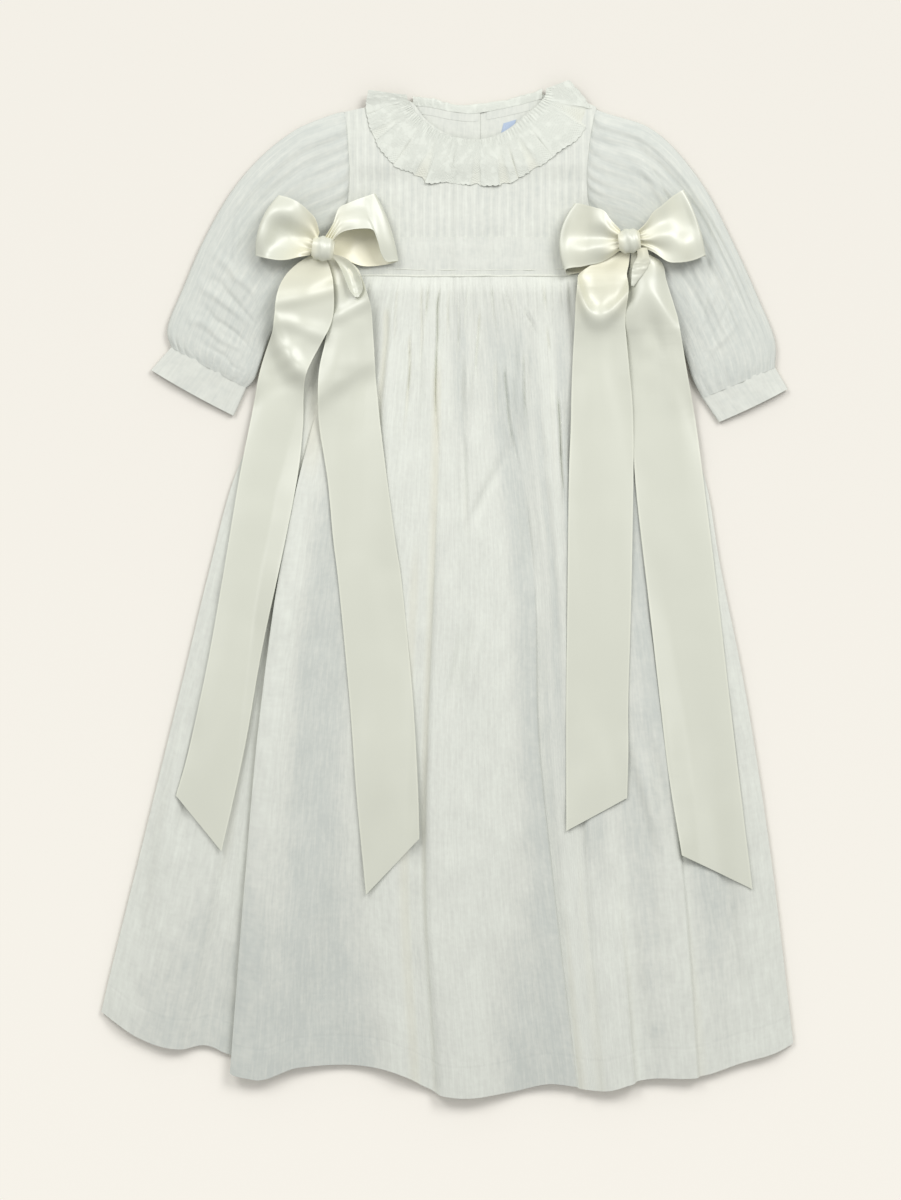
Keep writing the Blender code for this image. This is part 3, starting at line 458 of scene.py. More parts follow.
def satin_ribbon():
    """Satin: smooth gloss, faint ribs across the ribbon, a firm line at each edge, painted warm light inside
    folds.
    """
    made, tree, shader = new_material("satin_ribbon")
    uv, across, _, painted_light = cloth_place(tree)
    half_mm = RIBBON_MM / 2
    from_middle = add(tree, "ShaderNodeMath", {0: across, 1: half_mm * MM}, operation="SUBTRACT")
    from_middle = add(tree, "ShaderNodeMath", {0: from_middle}, operation="ABSOLUTE")
    ends = {"From Min": (half_mm - 1.6) * MM, "From Max": (half_mm - 0.8) * MM}
    edge = add(tree, "ShaderNodeMapRange", {"Value": from_middle, **ends})
    ribs = flat_noise(tree, uv, 30.0, 1.6, 2.0)
    plain = add(tree, "ShaderNodeMix", {0: edge, 6: linear(SATIN), 7: linear(SATIN_EDGE)}, data_type="RGBA")
    # Painted warm light inside the folds and at the knots.
    painted_light_mix = {0: painted_light, 6: plain.outputs[2], 7: linear(SATIN_PAINTED_LIGHT)}
    colour = add(tree, "ShaderNodeMix", painted_light_mix, data_type="RGBA").outputs[2]
    finish_cloth(tree, shader, colour, weighted(tree, [(1.2, edge), (1.0, ribs)]), 0.05, 0.5, 0.46, 1.0)
    way = add(tree, "ShaderNodeTangent", direction_type="UV_MAP", uv_map="cloth").outputs[0]
    tree.links.new(way, shader.inputs["Tangent"])
    shader.inputs["IOR"].default_value = 1.6
    shader.inputs["Coat Weight"].default_value = 0.35
    shader.inputs["Coat Roughness"].default_value = 0.34
    shader.inputs["Anisotropic"].default_value = 0.5
    shader.inputs["Anisotropic Rotation"].default_value = 0.25
    return made


satin = satin_ribbon()

# %% [markdown]
# ## The lace, the cord and the label
# The collar is narrow cotton lace: a net with small solid flowers. The real holes are under a
# millimetre, so the net is drawn at 2 mm, as dips between raised threads. The flowers repeat
# every 11 mm. The waist cords are cream cotton, twisted tight, and the label is a bare scrap of
# pale blue tape.

# %% Lace, cord and label
LACE_THREAD = "#D1D4CB"
LACE_GAP = "#C9CCC3"
CREAM = "#D0D2C8"
LABEL_BLUE = "#A9B7CB"
NET_MM = 2.0
FLOWER_MM = 11.0


def cotton_lace():
    """Lace: a net, the product of two cosines, under soft flowers that noise breaks up, and painted warm
    light in its dips.
    """
    made, tree, shader = new_material("cotton_lace")
    uv, across, along, painted_light = cloth_place(tree)
    net = 1.0
    for way in (across, along):
        turns = add(tree, "ShaderNodeMath", {0: way, 1: 2 * math.pi / (NET_MM * MM)}, operation="MULTIPLY")
        wave = add(tree, "ShaderNodeMath", {0: turns}, operation="COSINE")
        net = add(tree, "ShaderNodeMath", {0: net, 1: wave}, operation="MULTIPLY")
    ends = {"From Min": -0.4, "From Max": 0.7, "To Min": 1.0, "To Max": 0.0}
    net = add(tree, "ShaderNodeMapRange", {"Value": net, **ends})
    sprigs = flat_noise(tree, uv, FLOWER_MM, FLOWER_MM * 0.8, 4.0)
    solid = add(tree, "ShaderNodeMapRange", {"Value": sprigs, "From Min": 0.48, "From Max": 0.60})
    thread = add(tree, "ShaderNodeMath", {0: net, 1: solid}, operation="MAXIMUM")
    uneven = flat_noise(tree, uv, 2.5, 2.5, 3.0)
    threads = {0: thread, 6: linear(LACE_GAP), 7: linear(LACE_THREAD)}
    plain = add(tree, "ShaderNodeMix", threads, data_type="RGBA").outputs[2]
    # Painted warm light where the collar dips.
    painted_light_mix = {0: painted_light, 6: plain, 7: linear(COTTON_PAINTED_LIGHT)}
    colour = add(tree, "ShaderNodeMix", painted_light_mix, data_type="RGBA").outputs[2]
    height = weighted(tree, [(0.6, thread), (0.2, solid), (1.0, uneven)])
    finish_cloth(tree, shader, colour, height, 0.3, 0.8, 0.95, 0.15)
    return made


def plain_weave(name, colour, rib_mm):
    """Tightly woven cotton or tape: one colour with small uneven ribs."""
    made, tree, shader = new_material(name)
    ribs = flat_noise(tree, add(tree, "ShaderNodeUVMap", uv_map="cloth"), rib_mm, rib_mm, 2.0)
    ends = {"From Min": 0.3, "From Max": 0.7, "To Min": 0.94, "To Max": 1.04}
    tint = add(tree, "ShaderNodeMapRange", {"Value": ribs, **ends})
    base = add(tree, "ShaderNodeVectorMath", {0: linear(colour)[:3], "Scale": tint}, operation="SCALE")
    finish_cloth(tree, shader, base.outputs[0], ribs, 0.15, 0.6, 0.8, 0.3)
    return made


lace = cotton_lace()
cord = plain_weave("cream_cotton_cord", CREAM, 1.2)
tape = plain_weave("pale_blue_tape", LABEL_BLUE, 1.0)

# %% [markdown]
# ## The sizes of the gown
# These are the gown's sizes in millimetres, close to those of the solid model, because the visible
# cloth lies in the same place. An outline is a short table, and `through` makes it a curve.

# %% Walls and seams
LAWN_WALL = 0.6
SATIN_WALL = 0.4
LACE_WALL = 0.5
SOLID_COTTON = 1.2
SOLID_LACE = 1.0
SEAM = 0.3
CLEAR = 0.3
WAIST_Y = 244.0
PIPING_RADIUS = 1.3
BAND_BOTTOM_Y = WAIST_Y + 2 * PIPING_RADIUS + SEAM
BAND_TOP_Y = 275.0
BODICE_BOTTOM_Y = BAND_TOP_Y + SEAM
PLACKET_LAP = 11.0
PLACKET_EDGE_X = 27.0
NECK_RAISE = 2.5
PLACKET_STEP = 0.9
ARMHOLE_RISE = 2.0

# %% Heights of the yoke
NECK_ROLL_Y = 318.0
BELOW_NECK_Y = 300.0
DOME = 1.2


def back_height(x, y, lapped):
    """Middle of the back's wall, lifted by the rolled collar and, on one half, by the placket's lap."""
    near_neck = ease((y - NECK_ROLL_Y) / 18.0) * within(x, -79.0, 116.0, 12.0, 12.0)
    over = ease((x - (PLACKET_EDGE_X - PLACKET_LAP - 10.0)) / 8.0) if lapped else 0.0
    return SOLID_COTTON / 2 + NECK_RAISE * near_neck + PLACKET_STEP * over


def front_height(x, y):
    """Middle of the front's wall, over the highest part of the back, with a low dome."""
    on_placket = within(x, 2.0, 40.0, 8.0, 8.0)
    dome = DOME * within(x, -82.0, 120.0, 50.0, 50.0)
    under = back_height(x, y, False) + (SOLID_COTTON + 2 * CLEAR) * on_placket
    return under + SOLID_COTTON + 2 * CLEAR + dome


def band_height(x):
    """Height of the front below the neck, where the waistband and the skirt join on."""
    return front_height(x, np.full_like(x, BELOW_NECK_Y))


# %% The skirt's outline
# Columns: drop below the waist, left edge x, right edge x.
SKIRT_EDGES = (
    (0, -101, 142),
    (20, -112, 152),
    (50, -126, 163),
    (80, -137, 177),
    (110, -147, 188),
    (161, -168, 205),
    (224, -185, 216),
    (319, -208, 235),
    (445, -239, 255),
    (575, -271, 271),
    (660, -290, 281),
)
# Columns: x, drop below the waist.
HEM = (
    (-290, 577),
    (-274, 587),
    (-250, 601),
    (-210, 610),
    (-195, 607),
    (-178, 613),
    (-157, 632),
    (-116, 624),
    (-30, 632),
    (-8, 644),
    (51, 643),
    (78, 637),
    (130, 642),
    (156, 634),
    (200, 632),
    (232, 622),
    (274, 608),
    (290, 597),
)
# Drop at which a column's x is taken, to read its length from the hem's table.
HEM_READ_AT = 630.0
BACK_HEM_DROPS = (577.0, 600.0)
BACK_HEM_SAG = 34.0

# %% [markdown]
# ## The skirt
# A skirt this full is cut about two and a half times as wide as the waist and drawn up on a
# thread. Near the seam the fullness stands in many small gathers. Lower down they run together
# into a few large folds, and where a fold is laid over, the cloth goes out, turns back under
# itself and out again. A fold could be simulated, but placing the folds one by one puts them where
# the picture has them: each has a line, a side that lies on top, and a sideways swing that doubles
# the cloth back. Softer dents and a fine crumple finish the surface.

# %% The large folds
# Each fold's line runs through x at these drops below the waist.
FOLD_DROPS = (0, 120, 240, 360, 480, 640)
# Columns: line, side on top (1 right, -1 left), half width at the hem, lap, rise, how far the
# rise takes to die away, drop where it starts, drop where it is full, painted warm light at its foot.
FOLDS = (
    ((-84, -122, -145, -162, -181, -214), -1, 15, 1.0, 4.0, 45, 230, 430, 0.25),
    ((-70, -106, -127, -143, -154, -167), 1, 12, 9.0, 7.0, 75, 40, 260, 0.90),
    ((-18, -22, -28, -34, -36, -27), -1, 14, 0.0, 3.5, 30, 200, 420, 0.45),
    ((-4, -5, -9, -14, -16, -7), 1, 12, 1.5, 5.0, 55, 50, 260, 0.70),
    ((45, 57, 70, 73, 85, 104), -1, 9, 2.0, 3.6, 40, 100, 330, 0.55),
    ((86, 90, 98, 106, 112, 125), 1, 8, 0.5, 2.0, 20, 60, 160, 0.20),
    ((103, 112, 120, 128, 137, 150), -1, 8, 1.5, 3.0, 25, 420, 600, 0.20),
    ((118, 140, 157, 175, 188, 200), -1, 9, 2.0, 3.6, 40, 160, 380, 0.30),
)
FLAT_SKIRT_MM = 640.0
# Width of the skirt at which the half widths above hold: they grow and shrink with it.
FOLDS_DRAWN_AT = 558.0
# Between these folds the cloth undulates. Columns: height, waves across, length of one, seed.
UNDULATIONS = ((2.6, 15.0, 320.0, 14), (1.3, 29.0, 240.0, 13))
# Crumple of the whole skirt. Columns: height, size, seed.
SKIRT_CRUMPLE = ((0.60, 24.0, 11), (0.26, 8.0, 12))
# Heights: of the panel, its roll inwards from the sides, and what the gathers add at the waist.
SKIRT_HEIGHT = 2.6
SIDE_RISE = 2.2
WAIST_RISE = 1.6
SIDE_ROLL = 28.0
CALM_EDGE = 14.0

# %% Creases and dents
# Thin creases, each an unpressed pleat. Columns: x where it starts, half way and where it ends,
# drop where it starts, where it ends, half width, depth, painted warm light.
CREASES = (
    (-4.5, -8.5, -4.0, 4, 160, 1.8, 2.3, 0.15),
    (-28.5, -30, -33.5, 42, 132, 1.7, 1.9, 0.50),
    (28.5, 24, 25.5, 22, 96, 1.9, 1.8, 0.70),
    (45.5, 48, 50.6, 3, 28, 1.8, 1.9, 0.10),
    (56, 67, 71.5, 20, 48, 2.2, 2.3, 0.10),
    (47, 51, 65, 66, 172, 2.0, 2.1, 0.10),
    (60.5, 62.5, 65, 55, 128, 1.8, 1.6, 0.15),
    (79.5, 81, 83, 36, 64, 1.6, 1.5, 0.30),
    (88, 91, 93.5, 90, 190, 2.4, 2.8, 0.90),
    (-47, -51, -58, 20, 150, 3.4, 1.4, 0.55),
    (-38, -40, -42, 3, 62, 1.6, 1.2, 0.25),
    (-20, -19, -22, 3, 80, 1.6, 1.3, 0.30),
    (-14, -15, -18, 3, 46, 1.5, 1.1, 0.20),
    (3, 2, 4, 3, 60, 1.6, 1.2, 0.25),
    (9, 10, 8, 3, 84, 1.6, 1.3, 0.20),
    (17, 16, 14, 3, 52, 1.6, 1.2, 0.30),
    (36, 37, 40, 3, 50, 1.6, 1.2, 0.20),
    (39, 40, 43, 60, 130, 2.0, 1.2, 0.60),
    (54, 55, 57, 3, 40, 1.5, 1.1, 0.20),
    (76, 78, 80, 3, 30, 1.6, 1.1, 0.25),
    (14, 15, 18, 120, 215, 3.2, 1.1, 0.20),
    (146, 149, 152, 30, 160, 2.8, 1.5, 0.30),
    (-86, -92, -98, 20, 160, 2.8, 1.5, 0.35),
    (112, 117, 122, 10, 120, 2.4, 1.3, 0.20),
    (126, 131, 138, 5, 90, 2.2, 1.4, 0.20),
)
# Soft dents and swellings. Columns: as above, but half width and height (less than 0 dips).
DENTS = (
    (-40, 20, -48, 260, 9, 1.4),
    (17.5, 50, 17, 118, 5, 1.6),
    (55, 60, 58, 135, 6, 1.7),
    (58, 160, 70, 250, 7, -1.4),
    (-12, 20, -18, 150, 7, 1.2),
    (20, 20, 22, 330, 13, 2.0),
    (62, 15, 60, 130, 8, 1.4),
    (57, 120, 3, 226, 7, -1.3),
    (20, 254, -1, 361, 8, -1.9),
    (32, 250, 14, 350, 7, 1.2),
    (146, 355, 175, 470, 8, 2.0),
    (156, 350, 184, 458, 7, -1.3),
    (-52, 330, -66, 470, 16, 1.4),
    (-96, 400, -118, 600, 20, 1.6),
    (28, 380, 36, 560, 22, 1.2),
    (60, 430, 66, 620, 14, -1.0),
    (-205, 300, -232, 540, 13, 1.5),
    (-190, 330, -214, 470, 8, -1.4),
    (-232, 430, -252, 560, 9, -1.2),
    (228, 300, 240, 560, 11, 1.3),
    (215, 420, 232, 590, 8, -1.2),
    (112, 330, 122, 480, 14, 1.2),
    (152, 480, 170, 620, 10, 1.4),
)
# Cream light that the ribbons throw on the cotton, painted into its colour. Columns: x, y, half
# width, half length, painted warmth.
WARM_LIGHT = (
    (-104, 150, 20, 95, 0.95),
    (-99, 215, 12, 40, 0.60),
    (98, 150, 14, 90, 0.35),
    (172, 90, 16, 90, 0.30),
)

# %% The skirt's columns and gathers
FRONT_GATHERS = 34
GATHER_HEIGHT = 1.8
SKIRT_TUCK = 1.0


def waist_line(x):
    """The waist seam sags by about a millimetre in the middle."""
    return WAIST_Y + 1.2 * ((x - 20.0) / 120.0) ** 2


def fold_shares():
    """Where the skirt's edges and folds lie in its columns, 0 at the left edge and 1 at the right."""
    left, right = SKIRT_EDGES[0][1:]
    return np.array([0.0, *((fold[0][0] - left) / (right - left) for fold in FOLDS), 1.0])


def skirt_columns_to_x(u, drop):
    """x of the cloth: each fold keeps its column from waist to hem, and the cloth between spreads."""
    lines = np.array([fold[0] for fold in FOLDS], float).T
    rows = [(d, *line) for d, line in zip(FOLD_DROPS, lines)]
    at_folds = through(rows, drop)
    left, right = through(SKIRT_EDGES, drop)
    anchors = np.concatenate([left[None], at_folds, right[None]])
    shares = fold_shares()
    k = np.clip(np.searchsorted(shares, u, side="right") - 1, 0, len(shares) - 2)
    before = np.take_along_axis(anchors, k[None], axis=0)[0]
    after = np.take_along_axis(anchors, k[None] + 1, axis=0)[0]
    return mix(before, after, (u - shares[k]) / (shares[k + 1] - shares[k])), at_folds


def lap(t):
    """Sideways swing of a fold: out, back past the start and out again, 3.49 t (1 - t^2)^2."""
    return 3.49 * t * np.clip(1.0 - t * t, 0.0, None) ** 2


def gathers(share, count, height, drop, shortest, longest, seed):
    """Gathers: a cosine across, its spacing and height uneven, each fading at a length of its own."""
    uneven = share * count + 0.35 * hills(share * count * 0.5, 0 * share, seed)
    which = np.floor(uneven)
    length = mix(shortest, longest, 0.5 + 0.5 * hills(which * 0.77, 0 * share, seed + 1))
    tall = height * (0.85 + 0.3 * hills(which * 0.61, 0 * share, seed + 2))
    wave = (0.5 - 0.5 * np.cos(2 * math.pi * uneven)) ** 0.8
    return tall * wave * (1 - ease(drop / length))


# %% Dents, thin creases and crumple
def dents(x, drop):
    """Soft ridges and troughs: a hill across each line, fading in and out along it."""
    total = np.zeros_like(x)
    for x0, d0, x1, d1, width, tall in DENTS:
        t = (drop - d0) / (d1 - d0)
        line = mix(x0, x1, np.clip(t, -0.2, 1.2))
        total += 1.8 * tall * bump_at((x - line) / width) * bump_at(np.clip(2 * t - 1, -1, 1))
    return total


def creases(x, drop):
    """Thin creases that wander a little: a narrow dip with a low shoulder each side, and painted warm light
    in it.
    """
    total, warm = np.zeros_like(x), np.zeros_like(x)
    for number, (x0, half_way, x1, d0, d1, width, depth, warmth) in enumerate(CREASES):
        t = np.clip((drop - d0) / (d1 - d0), -0.2, 1.2)
        bend = 4 * t * (1 - t) * (half_way - (x0 + x1) / 2)
        line = mix(x0, x1, t) + bend + 0.8 * hills(drop / 24.0, 0 * drop + number, 15)
        fade = within(drop, d0, d1, 10.0, 0.5 * (d1 - d0))
        away = (x - line) / width
        total += 1.3 * depth * fade * (0.5 * bump_at(away / 3.4) - bump_at(away))
        # Painted warm light along the crease.
        warm = np.maximum(warm, 0.7 * warmth * fade * bump_at(away / 1.3))
    return total, warm


def crumple(x, y, tall, size, seed):
    """Two sizes of hills, longer down the cloth than across it."""
    fine = hills(x / (0.45 * size), y / (0.8 * size), seed + 7)
    return tall * (hills(x / size, y / (2.2 * size), seed) + 0.45 * fine)


# %% The skirt's front
def fold_light(x, drop, spread, lines):
    """Painted warm light on the cloth: in the crease at each fold's foot, and where a ribbon throws its
    light.
    """
    warm = np.zeros_like(x)
    for (_, side, *_, first, _, warmth), line in zip(FOLDS, lines):
        shown = ease((drop - first) / 40.0)
        foot = bump_at((side * (x - line) + 3.0) / (3.0 + 4.0 * spread))
        warm = np.maximum(warm, 0.7 * warmth * shown * foot)
    for middle_x, middle_y, half_wide, half_long, warmth in WARM_LIGHT:
        far = ((x - middle_x) / half_wide) ** 2 + ((WAIST_Y - drop - middle_y) / half_long) ** 2
        warm = np.maximum(warm, warmth * bump_at(np.clip(np.sqrt(far), 0, 1)))
    return warm


def skirt_front_surface(u, v):
    """Columns that fan out to the hem, raised by folds, gathers, undulations, creases and crumple.

    A fold lifts the side that lies on top and dies away from its line, and it also swings the
    cloth sideways. Its fourth value is painted light: warm in the folds, and below 0, painted
    shade, in the troughs.
    """
    left, right = SKIRT_EDGES[0][1:]
    end_x, _ = skirt_columns_to_x(u, np.full_like(u, HEM_READ_AT))
    drop = v * through(HEM, end_x)[0]
    x, lines = skirt_columns_to_x(u, drop)
    left_edge, right_edge = through(SKIRT_EDGES, drop)
    spread = (right_edge - left_edge) / FOLDS_DRAWN_AT
    edge = np.minimum(x - left_edge, right_edge - x)
    inside = ease(edge / CALM_EDGE)
    z = SKIRT_HEIGHT + SIDE_RISE * ease(edge / SIDE_ROLL) + WAIST_RISE * (1 - ease(drop / 60.0))
    swing = np.zeros_like(x)
    for (_, side, half, sway, rise, away, first, full, _), line in zip(FOLDS, lines):
        grown = ease((drop - first) / (full - first))
        t = (x - line) / (half * spread)
        beyond = np.clip(side * (x - line), 0.0, None)
        swing -= sway * grown * lap(np.clip(t, -1.0, 1.0))
        z += rise * grown * ease(0.5 + 0.72 * side * t) * np.exp(-((beyond / away) ** 2)) * inside
    thin, crease_painted_light = creases(x, drop)
    z += gathers(u, FRONT_GATHERS, GATHER_HEIGHT, drop, 22.0, 75.0, 3)
    waves = sum(tall * hills(u * count, drop / length, seed) for tall, count, length, seed in UNDULATIONS)
    z += waves * ease((drop - 20.0) / 140.0) * inside
    # Painted shade: the troughs between the undulations are to be darkened.
    trough = ease(0.35 - 0.30 * waves) * ease((drop + 30.0) / 120.0)
    z += (thin + dents(x, drop) + sum(crumple(x, drop, *row) for row in SKIRT_CRUMPLE)) * inside
    z = mix(band_height(x) + 0.5, z, ease(drop / 9.0))
    y = waist_line(mix(left, right, u)) - SEAM - drop + SKIRT_TUCK * (1 - ease(drop / 8.0))
    # Painted warm light in the creases and folds, less the painted shade of the troughs.
    warm = np.maximum(fold_light(x, drop, spread, lines), crease_painted_light)
    return np.array([x + swing, y, z, warm - 0.8 * trough])


# %% The skirt's cut
def skirt_flat(u, v):
    """Across the flat cloth, and up from the hem."""
    return u * FLAT_SKIRT_MM, (1 - v) * FLAT_SKIRT_MM


skirt_front = cloth("skirt_front_cloth", skirt_front_surface, skirt_flat, 290, 160, LAWN_WALL, lawn_skirt)
stand_for("skirt_front")
print("skirt front:", TRIANGLES["skirt_front_cloth"], "triangles")

# %% [markdown]
# The back panel lies flat on the surface under the front. Only its hem peeps out here and there,
# so it keeps the plain form, with low gathers at the waist.

# %% The skirt's back
BACK_GATHERS = 24
BACK_GATHER_HEIGHT = 1.4


def skirt_back_surface(u, v):
    """A flat panel down to a hem that sags in the middle, with low gathers and soft hills."""
    left, right = SKIRT_EDGES[0][1:]
    drop = v * (mix(*BACK_HEM_DROPS, u) + BACK_HEM_SAG * np.sin(math.pi * u) ** 0.8)
    left_edge, right_edge = through(SKIRT_EDGES, drop)
    z = LAWN_WALL / 2 + gathers(u, BACK_GATHERS, BACK_GATHER_HEIGHT, drop, 60.0, 110.0, 23)
    z += 0.5 + 0.5 * hills(u * 9, v * 7, 24) * ease(v * 6) * ease((1 - v) * 12)
    y = waist_line(mix(left, right, u)) - SEAM - drop
    return np.array([mix(left_edge, right_edge, u), y, z])


skirt_back = cloth("skirt_back_cloth", skirt_back_surface, skirt_flat, 110, 90, LAWN_WALL, lawn_skirt)
stand_for("skirt_back")

# %% [markdown]
# ## The yoke
# The yoke is cut without fullness: a front, and a back in two halves that overlap at a placket
# and button behind. Each piece is a patch between its top edge, two sides and the band. The back
# of the collar is rolled under the neck and lifts the back, and the back lifts the front.

# %% Outlines of the yoke
# Columns: share of the way from the left armhole, x, y.
FRONT_TOP = (
    (0.00, -80, 375),
    (0.12, -55, 380),
    (0.24, -28, 383),
    (0.32, -16, 369),
    (0.42, 2, 357),
    (0.53, 25, 353),
    (0.64, 47, 360),
    (0.74, 67, 376),
    (0.80, 82, 387),
    (0.90, 101, 386),
    (1.00, 119, 379),
)
BACK_LEFT_TOP = (
    (0.00, -80, 375),
    (0.22, -55, 380),
    (0.46, -28, 383),
    (0.62, -13, 381),
    (0.80, 6, 377),
    (1.00, PLACKET_EDGE_X, 375),
)
BACK_RIGHT_TOP = (
    (0.00, PLACKET_EDGE_X - PLACKET_LAP, 378),
    (0.20, 34, 378),
    (0.45, 58, 382),
    (0.68, 80, 389),
    (0.84, 101, 386),
    (1.00, 119, 379),
)
# Armholes, and below them the sides of the waistband. Columns: y, x.
ARMHOLE_LEFT = ((246, -103), (262, -95), (275, -87), (295, -80), (320, -77), (350, -78), (376, -80))
ARMHOLE_RIGHT = ((246, 143), (262, 133), (275, 124), (295, 115), (320, 112), (350, 114), (380, 119))


# %% Sides of the yoke
def armhole_side(edge, top_y, gap):
    """A side of the yoke as a function of v: down an armhole to the band, moved sideways by a gap."""

    def line(v):
        y = mix(top_y, BODICE_BOTTOM_Y, v)
        return np.stack([through(edge, y)[0] + gap, y])

    return line


def straight_side(x, top_y):
    return lambda v: np.stack([np.full_like(v, x), mix(top_y, BODICE_BOTTOM_Y, v)])


def patch(top, left, right):
    """Plan of a piece between a top edge, two sides and the band.

    It is the blend of the sides plus that of the top and the band, less that of the four corners.
    """
    ends = np.array([0.0, 1.0])
    (l0, l1), (r0, r1) = left(ends).T, right(ends).T

    def plan(u, v):
        corner = [mix(mix(l0[k], r0[k], u), mix(l1[k], r1[k], u), v) for k in (0, 1)]
        across = mix(left(v), right(v), u)
        down = mix(through(top, u), np.stack([mix(l1[k], r1[k], u) for k in (0, 1)]), v)
        return across + down - np.stack(corner)

    return plan


# %% The yoke's pieces
PLAN_SHIFT = 400.0
armhole_left = armhole_side(ARMHOLE_LEFT, FRONT_TOP[0][2], SEAM / 2)
armhole_right = armhole_side(ARMHOLE_RIGHT, FRONT_TOP[-1][2], -SEAM / 2)
lap_x = PLACKET_EDGE_X - PLACKET_LAP
front_plan = patch(FRONT_TOP, armhole_left, armhole_right)
back_left_plan = patch(BACK_LEFT_TOP, armhole_left, straight_side(PLACKET_EDGE_X, BACK_LEFT_TOP[-1][2]))
back_right_plan = patch(BACK_RIGHT_TOP, straight_side(lap_x, BACK_RIGHT_TOP[0][2]), armhole_right)


def bodice_front_surface(u, v):
    """The front: its height over the back, soft crumples inside, and a rise to both armholes."""
    x, y = front_plan(u, v)
    calm = ease(6 * v) * ease(8 * (1 - v)) * ease(12 * u) * ease(12 * (1 - u))
    soft = crumple(x, y, 0.40, 19.0, 31) + crumple(x, y, 0.14, 7.0, 32)
    sides = ARMHOLE_RISE * (2 - ease(u / 0.10) - ease((1 - u) / 0.10))
    return np.array([x, y, front_height(x, y) + sides + calm * (0.4 + soft)])


def bodice_back_surface(plan, lapped):
    """One half of the back, flat but for what lifts it."""

    def surface(u, v):
        x, y = plan(u, v)
        return np.array([x, y, back_height(x, y, lapped)])

    return surface


def flat_from(surface):
    """Flat place of a piece that is hardly folded: its own plan, moved so that no place is below 0."""
    return lambda u, v: tuple(surface(u, v)[:2] + PLAN_SHIFT)


back_left_surface = bodice_back_surface(back_left_plan, True)
back_right_surface = bodice_back_surface(back_right_plan, False)
# Columns: side, surface, cells across and along, cloth, flat size in m, what is under it, area.
YOKE = (
    ("front", bodice_front_surface, 120, 70, lawn_striped, (0.21, 0.114), "bodice_back_left_cloth", 0.0190),
    ("back_left", back_left_surface, 60, 40, lawn_plain, (0.114, 0.108), "collar_back_lace", 0.0110),
    ("back_right", back_right_surface, 60, 40, lawn_plain, (0.108, 0.114), "collar_back_lace", 0.0106),
)
for side, surface, across, along, lawn, flat, under, area in YOKE:
    piece = cloth(f"bodice_{side}_cloth", surface, flat_from(surface), across, along, LAWN_WALL, lawn)
    stand_for(f"bodice_{side}")
    print(piece.name, TRIANGLES[piece.name], "triangles")

# %% [markdown]
# ## The waistband and its cords
# A plain band 28 mm deep joins yoke to skirt, and a cream cord is let into the seam below it,
# with a finer one above. A cord is a tube, a circle carried along the seam.

# %% The waistband
BAND_LAP = 1.0


def band_surface(raised):
    """The band between the armholes' lines: flat at the back, puffed and crumpled in front."""

    def surface(u, v):
        middle = mix(BAND_TOP_Y, BAND_BOTTOM_Y, v)
        x = mix(through(ARMHOLE_LEFT, middle)[0], through(ARMHOLE_RIGHT, middle)[0], u)
        y = mix(BAND_TOP_Y + BAND_LAP, waist_line(x) + 0.4, v)
        if not raised:
            return np.array([x, y, np.full_like(x, SOLID_COTTON / 2)])
        puff = 0.45 + 0.5 * ease(v * 3) * ease(3 - v * 3)
        puff = puff + 0.30 * hills(x / 13.0, y / 9.0, 41) * ease(4 * v) * ease(4 - 4 * v)
        return np.array([x, y, band_height(x) + puff])

    return surface


for side, across, along, under in (("front", 120, 16, ["waistband_back_cloth"]), ("back", 40, 6, [])):
    surface = band_surface(side == "front")
    band = cloth(f"waistband_{side}_cloth", surface, flat_from(surface), across, along, LAWN_WALL, lawn_plain)
    stand_for(f"waistband_{side}")


# %% The waist cords
def tube(name, line, radius, sides, lengths, material):
    """A cord: a circle of `radius` in the plane across the line, at each of `lengths` + 1 points."""
    t = np.linspace(0, 1, lengths + 1)
    centre = line(t)
    way = np.gradient(centre, axis=1)
    way /= np.linalg.norm(way, axis=0)
    up = np.array([0.0, 0.0, 1.0])[:, None] * np.ones_like(way)
    side = np.cross(way, up, axis=0)
    side /= np.linalg.norm(side, axis=0)
    up = np.cross(side, way, axis=0)
    turn = 2 * math.pi * np.arange(sides) / sides
    circle = side[:, :, None] * np.cos(turn) + up[:, :, None] * np.sin(turn)
    ring = centre[:, :, None] + radius * circle
    vertices = ring.transpose(1, 2, 0).reshape(-1, 3) * MM
    number = np.arange((lengths + 1) * sides).reshape(lengths + 1, sides)
    turned = np.roll(number, -1, axis=1)
    quads = np.stack([number[:-1], turned[:-1], turned[1:], number[1:]], axis=-1).reshape(-1, 4).tolist()
    faces = quads + [number[0][::-1].tolist(), number[-1].tolist()]
    mesh = bpy.data.meshes.new(name)
    mesh.from_pydata(vertices, [], faces)
    mesh.shade_smooth()
    length = np.linalg.norm(np.diff(centre, axis=1), axis=0).sum()
    grid = np.stack(np.meshgrid(turn * radius, t * length), axis=-1).reshape(-1, 2) * MM
    loops = np.zeros(len(mesh.loops), np.int32)
    mesh.loops.foreach_get("vertex_index", loops)
    return as_object(name, mesh, grid[loops], material)


def waist_cord_line(lift):
    """The waist seam from side to side, lifted up the band and wandering a little."""
    raised = 0.7 if lift else 0.4

    def line(t):
        x = mix(through(ARMHOLE_LEFT, WAIST_Y)[0] + 2, through(ARMHOLE_RIGHT, WAIST_Y)[0] - 2, t)
        y = waist_line(x) + PIPING_RADIUS + lift + 0.35 * hills(x / 11.0, 0 * x + lift, 43)
        return np.array([x, y, band_height(x) + raised + 0.25 * hills(x / 6.0, 0 * x + lift, 44)])

    return line


waist_piping = tube("waist_cord", waist_cord_line(0.0), 1.0, 10, 160, cord)
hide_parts("waist_piping")
waist_stitching = tube("waist_cord_upper", waist_cord_line(4.9), 0.5, 8, 160, cord)

